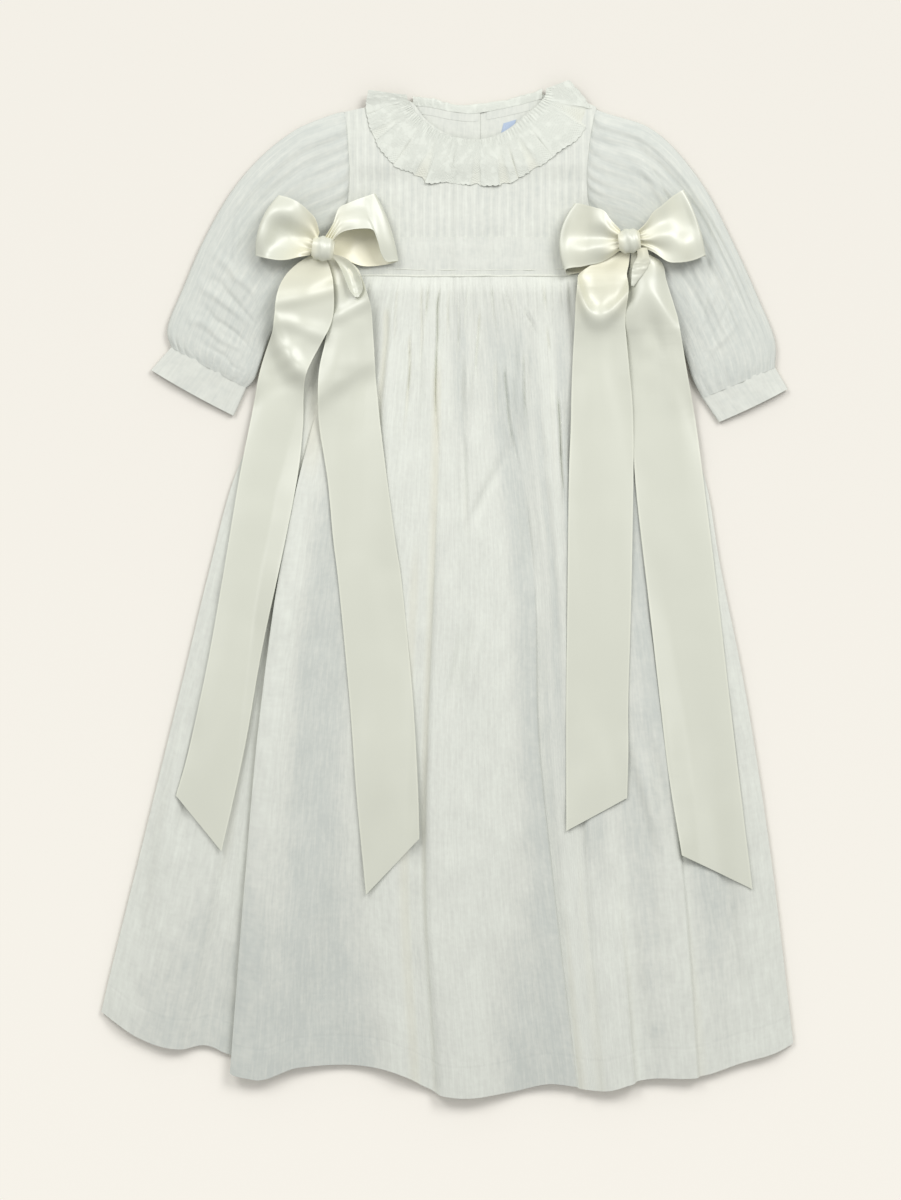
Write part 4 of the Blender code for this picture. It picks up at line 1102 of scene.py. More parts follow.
# %% [markdown]
# ## The sleeves
# A puffed sleeve is a tube gathered into the armhole and again into a cuff. Laid flat it is
# two layers, the upper one full of air. One closed tube is swept from the armhole to the cuff:
# u runs round it, from the outer edge over the top and back underneath, and the gathers fan out
# from the seam and fade. The cuff is a shorter tube of plain cloth.

# %% Sleeve outlines
SLEEVE_TUCK = 0.4
CUFF_TUCK = 1.2
HEAD_RISE = 0.10
EDGE_RADIUS = 1.7
SLEEVE_GATHERS = 11
CUFF_GATHERS = 9
# Columns: share down the sleeve, outer edge x, y, inner edge x, y, bulge, height of the top.
SLEEVE_LEFT = (
    (0.00, -80.5, 375, -101, 262, 12, 6.6),
    (0.12, -97, 373, -114, 243, 9, 8.4),
    (0.28, -134, 350, -121, 229, 5, 8.8),
    (0.45, -165, 318, -132, 211, 2, 8.6),
    (0.62, -189, 278, -141, 193, 0, 8.0),
    (0.78, -207, 237, -147, 176, -1, 7.6),
    (0.91, -220, 203, -152, 163, -2, 7.4),
    (1.00, -217, 189, -158, 157, -1, 5.4),
)
SLEEVE_RIGHT = (
    (0.00, 119.5, 379, 142, 262, -12, 6.6),
    (0.12, 139, 373, 155, 243, -9, 8.4),
    (0.28, 171, 355, 163, 229, -5, 8.8),
    (0.45, 203, 317, 175, 211, -2, 8.6),
    (0.62, 228, 269, 185, 193, 0, 8.0),
    (0.78, 246, 229, 191, 177, 1, 7.6),
    (0.91, 260, 193, 196, 162, 2, 7.4),
    (1.00, 260, 173, 203, 149, 1, 5.4),
)
CUFF_LEFT_END = (-233, 171, -168, 135, -2, 4.6)
CUFF_RIGHT_END = (270, 156, 216, 130, 2, 4.6)

# %% Creases of the sleeves
# Across a sleeve. Columns: share down it, share across, length, width, height, slant.
CREASES_LEFT = (
    (0.30, 0.42, 0.34, 0.050, 1.0, 0.16),
    (0.42, 0.60, 0.30, 0.040, -1.0, -0.08),
    (0.55, 0.30, 0.26, 0.030, 1.1, 0.10),
    (0.60, 0.42, 0.40, 0.022, 1.4, -0.06),
    (0.66, 0.50, 0.46, 0.018, -1.2, -0.05),
    (0.71, 0.40, 0.42, 0.020, 1.5, -0.04),
    (0.77, 0.55, 0.44, 0.016, -1.3, -0.03),
    (0.82, 0.45, 0.44, 0.020, 1.5, -0.02),
    (0.88, 0.60, 0.34, 0.016, -0.9, 0.02),
)
CREASES_RIGHT = (
    (0.26, 0.28, 0.34, 0.060, 1.2, 0.30),
    (0.36, 0.34, 0.34, 0.034, -1.1, 0.26),
    (0.44, 0.50, 0.30, 0.040, 1.0, 0.14),
    (0.58, 0.40, 0.34, 0.026, -0.8, 0.10),
    (0.66, 0.55, 0.34, 0.024, 0.9, 0.05),
    (0.74, 0.42, 0.36, 0.020, -0.8, 0.04),
    (0.81, 0.55, 0.36, 0.020, 1.0, 0.03),
)
# Along a sleeve. Columns: share across, half width, height, from, to share down it.
LONG_FOLDS_LEFT = (
    (0.10, 0.05, 1.2, 0.02, 0.60),
    (0.24, 0.05, -0.9, 0.05, 0.50),
    (0.40, 0.06, 0.8, 0.02, 0.45),
    (0.66, 0.07, 0.9, 0.0, 0.5),
)
LONG_FOLDS_RIGHT = (
    (0.08, 0.04, 1.3, 0.0, 0.95),
    (0.17, 0.04, -1.2, 0.05, 0.90),
    (0.26, 0.04, 1.1, 0.05, 0.80),
    (0.36, 0.04, -0.9, 0.25, 0.90),
    (0.50, 0.05, 0.9, 0.30, 0.95),
    (0.64, 0.05, -0.8, 0.35, 0.90),
)


# %% Sleeve surfaces
def tube_surface(table, lift, armhole=None, tuck=0.0):
    """A tube pressed flat: its top stands up as a rounded arch, the power 0.55 of the sine round it.

    Where it is sewn to the armhole it starts edge to edge with the bodice, at the bodice's height.
    """
    middle = SOLID_COTTON / 2 + EDGE_RADIUS

    def surface(u, v):
        outer_x, outer_y, inner_x, inner_y, bulge, high = through(table, v)
        angle = 2 * math.pi * u
        share = 0.5 - 0.5 * np.cos(angle)
        side = np.abs(np.sin(angle))
        x = mix(outer_x, inner_x, share) + bulge * 4 * share * (1 - share)
        y = mix(outer_y, inner_y, share)
        top = middle + (high - middle) * side**0.55 + lift(share, v) * ease(side * 1.6)
        if armhole:
            x = mix(x, through(armhole, y)[0] + tuck, 1 - ease(v / 0.22))
            seam = middle + (front_height(x, y) + ARMHOLE_RISE - middle) * side**0.25
            top = mix(seam, top, ease(v / HEAD_RISE) ** 0.7)
        bottom = middle - EDGE_RADIUS * side**0.35
        return np.array([x, y, np.where(np.sin(angle) > 0, top, bottom)])

    return surface


# %% Gathers and creases of a sleeve
def sleeve_lift(creases_across, long_folds, seed):
    """Gathers at both ends, creases across, folds along, and crumple."""

    def lift(share, v):
        cap = gathers(share, SLEEVE_GATHERS, 1.5, v, 0.16, 0.42, seed)
        cuff = gathers(share, CUFF_GATHERS, 1.1, 1 - v, 0.07, 0.20, seed + 3)
        total = cap + cuff * (0.4 + 0.6 * ease((1 - v) / 0.04))
        for down, middle, length, width, tall, slant in creases_across:
            t = (share - middle) / length
            line = down + slant * t + 0.012 * hills(share * 9, 0 * v + down * 40, seed + 8)
            total = total + tall * bump_at((v - line) / width) * bump_at(np.clip(t, -1, 1))
        for across, half_width, tall, start, end in long_folds:
            line = across + 0.02 * hills(v * 5, 0 * v + across * 30, seed + 9)
            total = total + tall * within(v, start, end, 0.15, 0.2) * bump_at((share - line) / half_width)
        fine = 0.45 * hills(share * 8, v * 8, seed + 5) + 0.28 * hills(share * 24, v * 13, seed + 6)
        return total + fine * ease(6 * v) * ease(6 - 6 * v)

    return lift


def cuff_lift(share, v):
    """A cuff is only a little uneven."""
    return 0.5 * hills(share * 12, v * 2, 71)


# %% The sleeves
# Columns: side, outline, armhole, tuck, creases, folds along it, end of the cuff, seed.
SLEEVES = (
    ("left", SLEEVE_LEFT, ARMHOLE_LEFT, SLEEVE_TUCK, CREASES_LEFT, LONG_FOLDS_LEFT, CUFF_LEFT_END, 51),
    ("right", SLEEVE_RIGHT, ARMHOLE_RIGHT, -SLEEVE_TUCK, CREASES_RIGHT, LONG_FOLDS_RIGHT, CUFF_RIGHT_END, 61),
)
for side, table, armhole, tuck, creases_across, long_folds, cuff_end, seed in SLEEVES:
    surface = tube_surface(table, sleeve_lift(creases_across, long_folds, seed), armhole, tuck)
    flat = flat_sheet(266.0, 205.0)
    sleeve = cloth(f"sleeve_{side}_cloth", surface, flat, 220, 120, LAWN_WALL, lawn_sleeve, around=True)
    stand_for(f"sleeve_{side}")
    print(sleeve.name, TRIANGLES[sleeve.name], "triangles")
    near, far = np.array(table[-1][1:], float), np.array(cuff_end, float)
    near -= (far - near) * CUFF_TUCK / np.hypot(*(far - near)[:2])
    surface = tube_surface(((0, *near), (1, *far)), cuff_lift)
    flat = flat_sheet(140.0, 23.0)
    cuff = cloth(f"cuff_{side}_cloth", surface, flat, 96, 16, LAWN_WALL, lawn_plain, around=True)
    stand_for(f"cuff_{side}")

# %% [markdown]
# ## The lace collar
# The collar is a strip of lace gathered onto the neck seam and laid outwards. Its outer edge is
# longer than its inner one, so it has to fold. Here it lies in broad flat waves with narrow dips
# between them, each dip placed one by one. The cloth swings towards a dip on both sides, which
# widens the crests, and small scallops run along the edge.

# %% Collar tables
COLLAR_BACK_WAVES = 9
SCALLOP_MM = 5.0
COLLAR_EDGE_MM = 310.0
COLLAR_TUFTS = 70
YOKE_TOP_Y = 370.0
# Dips of the ruffle. Columns: share from left to right, half width, depth, side swing, painted
# warm light.
COLLAR_DIPS = (
    (0.105, 0.010, 3.0, -5.0, 0.35),
    (0.185, 0.010, 1.2, 2.2, 0.10),
    (0.285, 0.012, 2.2, -3.0, 0.25),
    (0.385, 0.012, 2.8, 3.6, 0.35),
    (0.478, 0.008, 1.2, -2.5, 0.10),
    (0.563, 0.009, 2.2, 2.6, 0.20),
    (0.648, 0.010, 2.0, 2.5, 0.30),
    (0.687, 0.009, 2.8, -2.2, 0.40),
    (0.735, 0.010, 2.2, 2.0, 0.30),
    (0.790, 0.010, 1.4, -2.5, 0.10),
    (0.915, 0.011, 3.2, 5.0, 0.35),
)
# Where its edge stands off the yoke. Columns: share, half width.
COLLAR_LIFTS = ((0.03, 0.09), (0.42, 0.06), (0.615, 0.05), (0.95, 0.09))
# Columns: share from the left shoulder to the right, seam x, y, edge x, y.
COLLAR_FRONT = (
    (0.00, -31, 388, -62, 392),
    (0.08, -30, 384, -66, 380),
    (0.18, -26, 377, -60, 356),
    (0.28, -18, 368, -42, 334),
    (0.38, -6, 359, -22, 322),
    (0.48, 10, 354, 2, 316),
    (0.58, 28, 353, 28, 315),
    (0.68, 45, 358, 56, 319),
    (0.78, 59, 368, 83, 336),
    (0.87, 71, 379, 104, 354),
    (0.94, 78, 387, 115, 379),
    (1.00, 79, 393, 97, 400),
)
# Columns: share from the left shoulder to the right, x, y of the back neck edge.
COLLAR_BACK = (
    (0.0, -26, 384),
    (0.2, -12, 382.5),
    (0.4, 6, 379),
    (0.5, 20, 377.5),
    (0.6, 34, 379.5),
    (0.8, 58, 384.5),
    (1.0, 76, 389.5),
)


# %% The front of the collar
def collar_front_surface(u, v):
    """From the seam straight out to the edge. Each dip lowers the wave and draws the cloth sideways.

    Where the edge doesn't stand off the yoke it is pressed down, tufts of the gathering thread's
    pleats stand along the seam, and the sine's scallops run along the edge.
    """
    seam_x, seam_y, edge_x, edge_y = through(COLLAR_FRONT, u)
    out = ease(v * 1.15) * v
    up = 1.5 + 1.5 * hills(u * 9.5, 0 * u, 82)
    across, warm = np.zeros_like(u), np.zeros_like(u)
    for share, half_width, depth, sway, warmth in COLLAR_DIPS:
        t = (u - share) / half_width
        up = up - depth * bump_at(t)
        across = across + sway * lap(np.clip(t / 1.8, -1, 1)) * 0.8
        # Painted warm light in each dip.
        warm = np.maximum(warm, warmth * bump_at(t / 1.3))
    lifted = sum(bump_at(np.clip((u - share) / half, -1, 1)) for share, half in COLLAR_LIFTS)
    lying = 1 - 0.75 * ease((v - 0.5) / 0.5) * (1 - lifted)
    length = np.hypot(edge_x - seam_x, edge_y - seam_y)
    dx, dy = (edge_x - seam_x) / length, (edge_y - seam_y) / length
    scallop = 0.8 * np.abs(np.sin(math.pi * u * COLLAR_EDGE_MM / SCALLOP_MM)) * ease((v - 0.85) / 0.15)
    reach = v * (length - 1.6 + 2.2 * hills(u * 17, 0 * u, 83) + 0.6 * (up - 1.5)) + scallop
    x = seam_x + dx * reach - dy * across * out
    y = seam_y + dy * reach + dx * across * out
    base = front_height(x, np.minimum(y, YOKE_TOP_Y)) + LAWN_WALL / 2 + LACE_WALL / 2 + 2 * CLEAR
    tufts = np.cos(2 * math.pi * COLLAR_TUFTS * u + 2 * hills(u * 30, 0 * u, 85))
    tufts = 0.22 * tufts * bump_at(np.clip((v - 0.08) / 0.16, -1, 1))
    soft = 0.35 * hills(x / 8.0, y / 8.0, 84) * v + tufts
    return np.array([x, y, base + np.clip(up, 0.0, None) * out * lying + soft, warm * out])


flat = flat_sheet(420.0, 38.0)
collar_front = cloth("collar_front_lace", collar_front_surface, flat, 560, 30, LACE_WALL, lace)
under = ["bodice_front_cloth"]
stand_for("collar_front")


# %% The back of the collar
def collar_back_surface(u, v):
    """The back of the collar comes from inside the neck, rolls over its edge and lies under the yoke."""
    neck_x, neck_y = through(COLLAR_BACK, u)
    inside = 1 - ease(v / 0.14)
    turned = math.pi * np.clip((v - 0.10) / 0.24, 0.0, 1.0)
    inward = np.clip((v - 0.34) / 0.66, 0.0, 1.0)
    on_placket = within(neck_x, 4.0, 36.0, 8.0, 8.0)
    low = SOLID_LACE / 2
    high = SOLID_COTTON / 2 + NECK_RAISE + PLACKET_STEP * on_placket + 0.5
    ripple = hills(u * 13, 0 * u, 86) + 0.5 * hills(u * 31, 0 * u, 87)
    x = neck_x + (u - 0.5) * 14.0 * inward
    y = neck_y + 0.6 - 4.5 * inside + (2.6 + 0.9 * ripple) * np.sin(turned) - 34.0 * inward
    z = low + (high - low) * (0.5 + 0.5 * np.cos(turned)) + 0.5 * ripple * bump_at((v - 0.16) / 0.16)
    wave = 0.7 * (0.5 - 0.5 * np.cos(2 * math.pi * COLLAR_BACK_WAVES * u))
    return np.array([x, y, z + wave * ease(inward * 2.5)])


flat = flat_sheet(260.0, 42.0)
collar_back = cloth("collar_back_lace", collar_back_surface, flat, 240, 50, LACE_WALL, lace)
stand_for("collar_back")
print("collar:", TRIANGLES["collar_front_lace"], "and", TRIANGLES["collar_back_lace"], "triangles")


# %% [markdown]
# Inside the neck a narrow binding covers the seam of the back, and the corner of a label shows.
# The label is left bare.

# %% Binding and label
BINDING_WALL = 0.2
BINDING_DEEP = 8.7
# Columns: side, shares of the neck edge where it starts and ends, length, flat size and area in m.
BINDINGS = (
    ("left", 0.06, 0.54, 49.0, (0.049, 0.010), 0.00042),
    ("right", 0.585, 0.96, 42.0, (0.044, 0.010), 0.00036),
)


def binding_surface(start, end, lapped):
    """A strip below the back neck edge, from one share of the edge to another."""

    def surface(u, v):
        x, neck_y = through(COLLAR_BACK, mix(start, end, u))
        y = neck_y - 1.5 - BINDING_DEEP * v
        z = back_height(x, y, lapped) + LAWN_WALL / 2 + BINDING_WALL / 2 + 0.03
        return np.array([x, y, z])

    return surface


def label_surface(u, v):
    """A small slanted patch on the back."""
    x = 45.5 + 10.0 * u - 2.0 * v
    y = 366.0 - 8.0 * v + 3.0 * u
    z = back_height(x, y, False) + LAWN_WALL / 2 + LACE_WALL / 2 + 0.1
    return np.array([x, y, z])


for side, start, end, length, flat, area in BINDINGS:
    surface = binding_surface(start, end, side == "left")
    uv = flat_sheet(length, BINDING_DEEP)
    binding = cloth(f"neck_binding_{side}_cloth", surface, uv, 40, 6, BINDING_WALL, lawn_plain)
    under = [f"bodice_back_{side}_cloth"]
    stand_for(f"neck_binding_{side}")
label = cloth("neck_label_tape", label_surface, flat_sheet(11.0, 9.0), 10, 8, LACE_WALL, tape)
stand_for("neck_label")

# %% [markdown]
# ## What the ribbons lie on
# The tails and loops rest on cloth that is already there. A plan grid of 2 mm cells holds the
# highest point of that cloth over each cell, spread to its neighbours and smoothed, and a ribbon
# reads its height from the grid, so that it clears every gather below it.

# %% Resting heights
CELL = 2.0
FIELD_X = (-300.0, 300.0)
FIELD_Y = (-420.0, 420.0)


def resting_on(pieces, reach):
    """A smooth height that clears the pieces: their highest point within reach, averaged over it."""
    wide = int((FIELD_X[1] - FIELD_X[0]) / CELL) + 1
    tall = int((FIELD_Y[1] - FIELD_Y[0]) / CELL) + 1
    field = np.zeros((wide, tall))
    for piece in pieces:
        points = np.zeros(len(piece.data.vertices) * 3)
        piece.data.vertices.foreach_get("co", points)
        points = points.reshape(-1, 3) / MM
        i = np.clip(((points[:, 0] - FIELD_X[0]) / CELL).round().astype(int), 0, wide - 1)
        j = np.clip(((points[:, 1] - FIELD_Y[0]) / CELL).round().astype(int), 0, tall - 1)
        np.maximum.at(field, (i, j), points[:, 2])
    shifts = range(-int(reach / CELL), int(reach / CELL) + 1)
    for combine in (np.max, np.mean):
        for axis in (0, 1):
            field = combine([np.roll(field, shift, axis) for shift in shifts], axis=0)

    def height(x, y):
        i = np.clip((x - FIELD_X[0]) / CELL, 0, wide - 1.001)
        j = np.clip((y - FIELD_Y[0]) / CELL, 0, tall - 1.001)
        i0, j0 = i.astype(int), j.astype(int)
        a, b = i - i0, j - j0
        low = mix(field[i0, j0], field[i0 + 1, j0], a)
        high = mix(field[i0, j0 + 1], field[i0 + 1, j0 + 1], a)
        return mix(low, high, b)

    return height


UNDER_RIBBONS = ["skirt_front_cloth", "bodice_front_cloth", "waistband_front_cloth", "waist_cord"]
UNDER_RIBBONS += ["sleeve_left_cloth", "sleeve_right_cloth"]
REACH = 6.0
rests = resting_on([bpy.data.objects[name] for name in UNDER_RIBBONS], REACH)

# %% [markdown]
# ## The ribbon tails
# Each tail leaves the knot drawn into pleats, cups as it opens out over a hand's width, and then
# lies flat. A tail is a ribbon between two edges, each a curve through a table, with its height
# over the gown at both edges. Over that lie its rims, the rounded ridges that give the satin its
# long highlights: each is a curve across the ribbon with a height and a width on either side.

# %% Ribbon shaping
def across_five(values, u):
    """A cubic curve through five evenly spaced heights, read at u."""
    slopes = np.gradient(values, axis=0)
    i = np.clip((u * 4).astype(int), 0, 3)
    t = u * 4 - i
    a, b = (np.take_along_axis(values, i[None] + k, axis=0)[0] for k in (0, 1))
    da, db = (np.take_along_axis(slopes, i[None] + k, axis=0)[0] for k in (0, 1))
    return cubic(t, a, da, b, db)


def laid_ribbon(table, rims, base, seed):
    """A ribbon between two edges. Its height is that of what it lies on, the table's, and the rims'.

    A rim whose curve is r(u) adds tall exp(-((y - r) / w)^2), where w differs above and below it.
    """
    rows = [(n / (len(table) - 1), *row) for n, row in enumerate(table)]

    def surface(u, v):
        left_y, left_x, right_y, right_x, *heights, warm = through(rows, v)
        x, y = mix(left_x, right_x, u), mix(left_y, right_y, u)
        lie = 0.7 * hills(u * 1.2 + v * 3.0, v * 8, seed) + 0.2 * hills(u * 3.0, v * 22, seed + 1)
        z = base(x, y) + CLEAR + SATIN_WALL / 2 + across_five(np.array(heights), u)
        z = z + lie * ease(v * 3.0 - 0.6)
        for *curve, tall, above, below in rims:
            away = y - across_five(np.array(curve, float)[:, None, None] + 0 * u, u)
            z = z + tall * np.exp(-((away / np.where(away > 0, above, below)) ** 2))
        # The fourth value is the table's painted warm light.
        return np.array([x, y, z, warm])

    return surface


# %% Tables of the left bow's tails
# Columns: y and x of the left edge, y and x of the right edge, five heights over the gown, painted
# warm light.
TAIL_LEFT_OUTER = (
    (262, -104, 262, -97, 6, 6, 6, 6, 6, 0.5),
    (254, -117, 255, -93, 8, 8, 8, 8, 8, 0.5),
    (245, -126, 244, -89.5, 9, 8, 7.5, 8, 9, 0.45),
    (235, -131.5, 236, -88.5, 9.5, 8, 7.5, 8.5, 10.5, 0.3),
    (224, -134, 224, -88, 10, 8.5, 8, 9, 10.5, 0.1),
    (212, -135, 212, -89, 10, 8.5, 8, 8.5, 9.5, 0.05),
    (201, -136.5, 202, -92.5, 7.5, 8.5, 8, 8.5, 9, 0),
    (190, -140.5, 190, -99, 3, 7, 8, 8, 8.5, 0),
    (180, -144, 180, -104.5, 1.2, 3, 7, 7.5, 8, 0),
    (170, -146.8, 170, -109, 1.2, 1.2, 3, 6.5, 8, 0),
    (160, -149, 160, -111.5, 1.6, 1.2, 1, 2.5, 5, 0),
    (148, -151, 148, -112.4, 2, 1.5, 1, 0.8, 2, 0),
    (125, -155.5, 125, -113, 2.2, 1.6, 1, 0.5, 0.3, 0),
    (84, -163.5, 84, -117.5, 2.2, 1.6, 1, 0.5, 0, 0),
    (20, -174, 20, -130, 2, 1.5, 1, 0.5, 0, 0),
    (-60, -188, -50, -145, 1.5, 1.6, 1, 0.6, 0, 0),
    (-129, -203, -129, -159, 0.5, 0.8, 1, 0.4, 0, 0),
    (-165, -213, -209, -177, 0.5, 0.5, 0.8, 1.0, 1.8, 0),
)
TAIL_LEFT_INNER = (
    (262, -98, 262, -86, 6, 6, 6, 6, 6, 0.6),
    (250, -93, 252, -71, 4, 7, 8, 9, 9, 0.5),
    (238, -92, 240, -65, 4, 7, 7, 8, 10.5, 0.2),
    (228, -92, 229, -61.5, 4, 7, 7, 8, 10.5, 0.05),
    (220, -91, 222, -59.5, 5, 7.5, 8, 9, 10, 0),
    (211, -91, 213, -58.2, 6, 8.5, 9, 9, 8.5, 0),
    (203, -93, 205, -57.8, 7, 9, 9.5, 9, 7, 0),
    (190, -95.7, 193, -57, 8, 10, 9.5, 7.5, 4.5, 0),
    (176, -99, 180, -56.2, 8, 9.5, 7.5, 4.5, 2.2, 0),
    (163, -100.5, 167, -55.5, 7.5, 7, 4, 1.8, 1.2, 0),
    (147, -100.8, 150, -54, 5.5, 3, 1.2, 0.8, 0.8, 0),
    (124, -99.7, 126, -51.5, 2, 0.8, 0.4, 0.4, 0.4, 0),
    (84, -93.4, 86, -46.5, 0.6, 0.3, 0.2, 0.2, 0.2, 0),
    (37, -89, 37, -40, 0.3, 0, 0.3, 0.2, 0, 0),
    (0, -84.5, 0, -34.5, 0, 0, 0.3, 0, 0, 0),
    (-90, -76, -90, -26, 0, 0.3, 0.3, 0, 0, 0),
    (-170, -70, -160, -22, 0, 0.3, 0.6, 0.3, 0.4, 0),
    (-243, -63, -199, -21, 1.8, 0.8, 0.5, 0.5, 0.8, 0),
)

# %% Tables of the right bow's tails
# Columns: as for the left bow.
TAIL_RIGHT_INNER = (
    (263, 136, 263, 145, 7, 7, 7, 7, 7, 0.8),
    (254, 116, 254, 144, 9, 9, 9, 8, 8, 0.8),
    (246, 105, 246, 142.5, 10, 8, 8, 8, 9, 0.6),
    (239, 103.5, 239, 143.3, 11, 7.5, 7, 7.5, 11, 0.45),
    (231, 102.6, 231, 143.5, 11, 7, 6, 7, 11, 0.35),
    (223, 102, 223, 142.4, 9, 8, 6, 8, 9.5, 0.25),
    (216, 101.9, 216, 141.6, 7, 8, 7, 8, 8, 0.1),
    (208, 101.6, 208, 141.2, 5, 6, 6.5, 6, 7, 0),
    (199, 101.1, 199, 142, 3.5, 4, 4.5, 4, 6, 0),
    (185, 100.4, 185, 143.4, 2, 2.2, 2.6, 2.8, 5, 0),
    (168, 99.6, 168, 145, 1, 1, 1.4, 2.2, 4, 0),
    (148, 99, 148, 147, 0.8, 0.8, 0.8, 1.2, 2.8, 0),
    (124, 98.5, 124, 148, 0.6, 0.4, 0.3, 0.6, 2, 0),
    (84, 97, 84, 148, 0.2, 0, 0, 0, 1.2, 0),
    (0, 96, 0, 146.5, 0, 0.3, 0.2, 0, 0.5, 0),
    (-90, 95, -90, 144, 0, 0.4, 0.3, 0, 0, 0),
    (-150, 95, -130, 144, 0, 0.3, 0.5, 0.3, 0, 0),
    (-193, 95, -167, 143, 1.6, 0.8, 0.4, 0.4, 0.6, 0),
)
TAIL_RIGHT_OUTER = (
    (263, 146, 263, 157, 7, 7, 7, 7, 7, 0.5),
    (252, 145, 255, 170, 5, 9, 9.5, 9, 5, 0.2),
    (240, 142.5, 242, 173.5, 4, 9.5, 10, 9, 4, 0),
    (228, 141, 229, 177.5, 4, 10, 10, 9, 4, 0),
    (214, 139.6, 216, 181.5, 3.5, 9.5, 9.5, 9, 4, 0),
    (204, 139.6, 207, 183.5, 3, 8.5, 7.5, 9, 4.5, 0),
    (196, 140.4, 200, 184.8, 2, 6, 6, 9, 5, 0),
    (184, 141.6, 188, 187, 1, 3, 5, 8.5, 5.5, 0),
    (168, 143.4, 173, 189.5, 0.6, 1.5, 4, 7.5, 5.5, 0),
    (146, 145.2, 151, 193.6, 0.4, 0.8, 2.5, 5, 3.5, 0),
    (120, 147, 126, 198, 0.3, 0.5, 1.4, 2.5, 1.5, 0),
    (68, 151, 76, 204.5, 0.2, 0.3, 0.5, 0.4, 0, 0),
    (-10, 160, -4, 214.5, 0, 0.2, 0.3, 0, 0, 0),
    (-90, 169, -88, 224, 0, 0.4, 0.3, 0.2, 0, 0),
    (-150, 176, -165, 233, 0, 0.4, 0.6, 0.4, 0.4, 0),
    (-212, 186, -239, 242, 2.6, 1.4, 0.6, 0.6, 0.8, 0),
)

# %% Rims of the tails
# Columns: y of the ridge at five places across the ribbon, height, width above and below.
RIMS_LEFT_OUTER = (
    (223, 225.5, 228, 231, 234, 2.2, 6, 6),
    (209, 208, 204, 200, 197, 2.4, 6, 6),
    (204, 189, 181, 173, 167, 4.2, 8, 9),
)
RIMS_LEFT_INNER = (
    (212, 214, 218, 222, 226, 2.2, 5, 6),
    (153, 160, 167, 174, 180, 3.8, 16, 11),
)
RIMS_RIGHT_INNER = ((238, 217, 212.5, 217.5, 231, 4.6, 7, 9),)
RIMS_RIGHT_OUTER = ((216, 222, 228, 220, 204, 3.0, 12, 14),)


# %% The tails
# Columns: node, table, rims, length, seed.
TAILS = (
    ("bow_left_tail_inner", TAIL_LEFT_INNER, RIMS_LEFT_INNER, 500.0, 92),
    ("bow_left_tail_outer", TAIL_LEFT_OUTER, RIMS_LEFT_OUTER, 480.0, 91),
    ("bow_right_tail_inner", TAIL_RIGHT_INNER, RIMS_RIGHT_INNER, 470.0, 93),
    ("bow_right_tail_outer", TAIL_RIGHT_OUTER, RIMS_RIGHT_OUTER, 510.0, 94),
)
for name, table, rims, length, seed in TAILS:
    surface = laid_ribbon(table, rims, rests, seed)
    tail = cloth(f"{name}_satin", surface, flat_sheet(RIBBON_MM, length), 36, 220, SATIN_WALL, satin)
    area = 0.88 * 0.05 * length * MM
    stand_for(name)
    print(name, length, "mm")

# %% [markdown]
# ## The bows
# A bow's loop is one length of ribbon that leaves the knot, turns over at its outer fold and
# comes back on top. The back layer lies on the gown. The front layer is full of air, and no two
# are alike: one is hollowed like a spoon, one arches over a tunnel, one swells into two domes and
# one opens like a fan. Its highlights are what make satin look like satin. A row of a table gives,
# at each share along the loop, where its upper and lower edges are, five heights across, and how
# warm the light is that reaches it.

# %% The left bow's loops
# Columns: share along the loop, reach and side of the upper edge, reach and side of the lower
# edge, heights from upper to lower edge, painted warm light. Reach is measured from the knot's end.
LOOP_SPOON = (
    (0.00, 0, 5, 0, -5, 9, 9, 9, 9, 9, 1),
    (0.12, 10, 14, 10, -14, 5, 5, 5, 5, 5, 1),
    (0.26, 22, 21, 22, -20, 1.5, 1.5, 1.5, 1.5, 1.5, 1),
    (0.40, 34, 24, 32, -23, 0.6, 0.6, 0.6, 0.6, 0.6, 0.6),
    (0.50, 39.8, 24.8, 37, -24.9, 4.5, 4.5, 4.5, 4.5, 4.5, 0),
    (0.56, 39.3, 25.2, 36.5, -25.2, 9, 12, 13, 13, 9, 0),
    (0.62, 36, 25.8, 33, -24.8, 10, 15, 15, 15, 10, 0),
    (0.70, 29, 26.6, 26, -23.8, 11, 15, 8, 9, 14, 0),
    (0.78, 21, 25.6, 18.5, -21.8, 14, 13, 5, 8, 16, 0.1),
    (0.86, 13, 23, 11.5, -18.2, 17, 13, 6, 9, 17, 0.35),
    (0.93, 5, 19, 5, -13, 18, 14, 9, 11, 16, 0.7),
    (1.00, -2, 11, -2, -8, 15, 13, 12, 12, 12, 0.9),
)
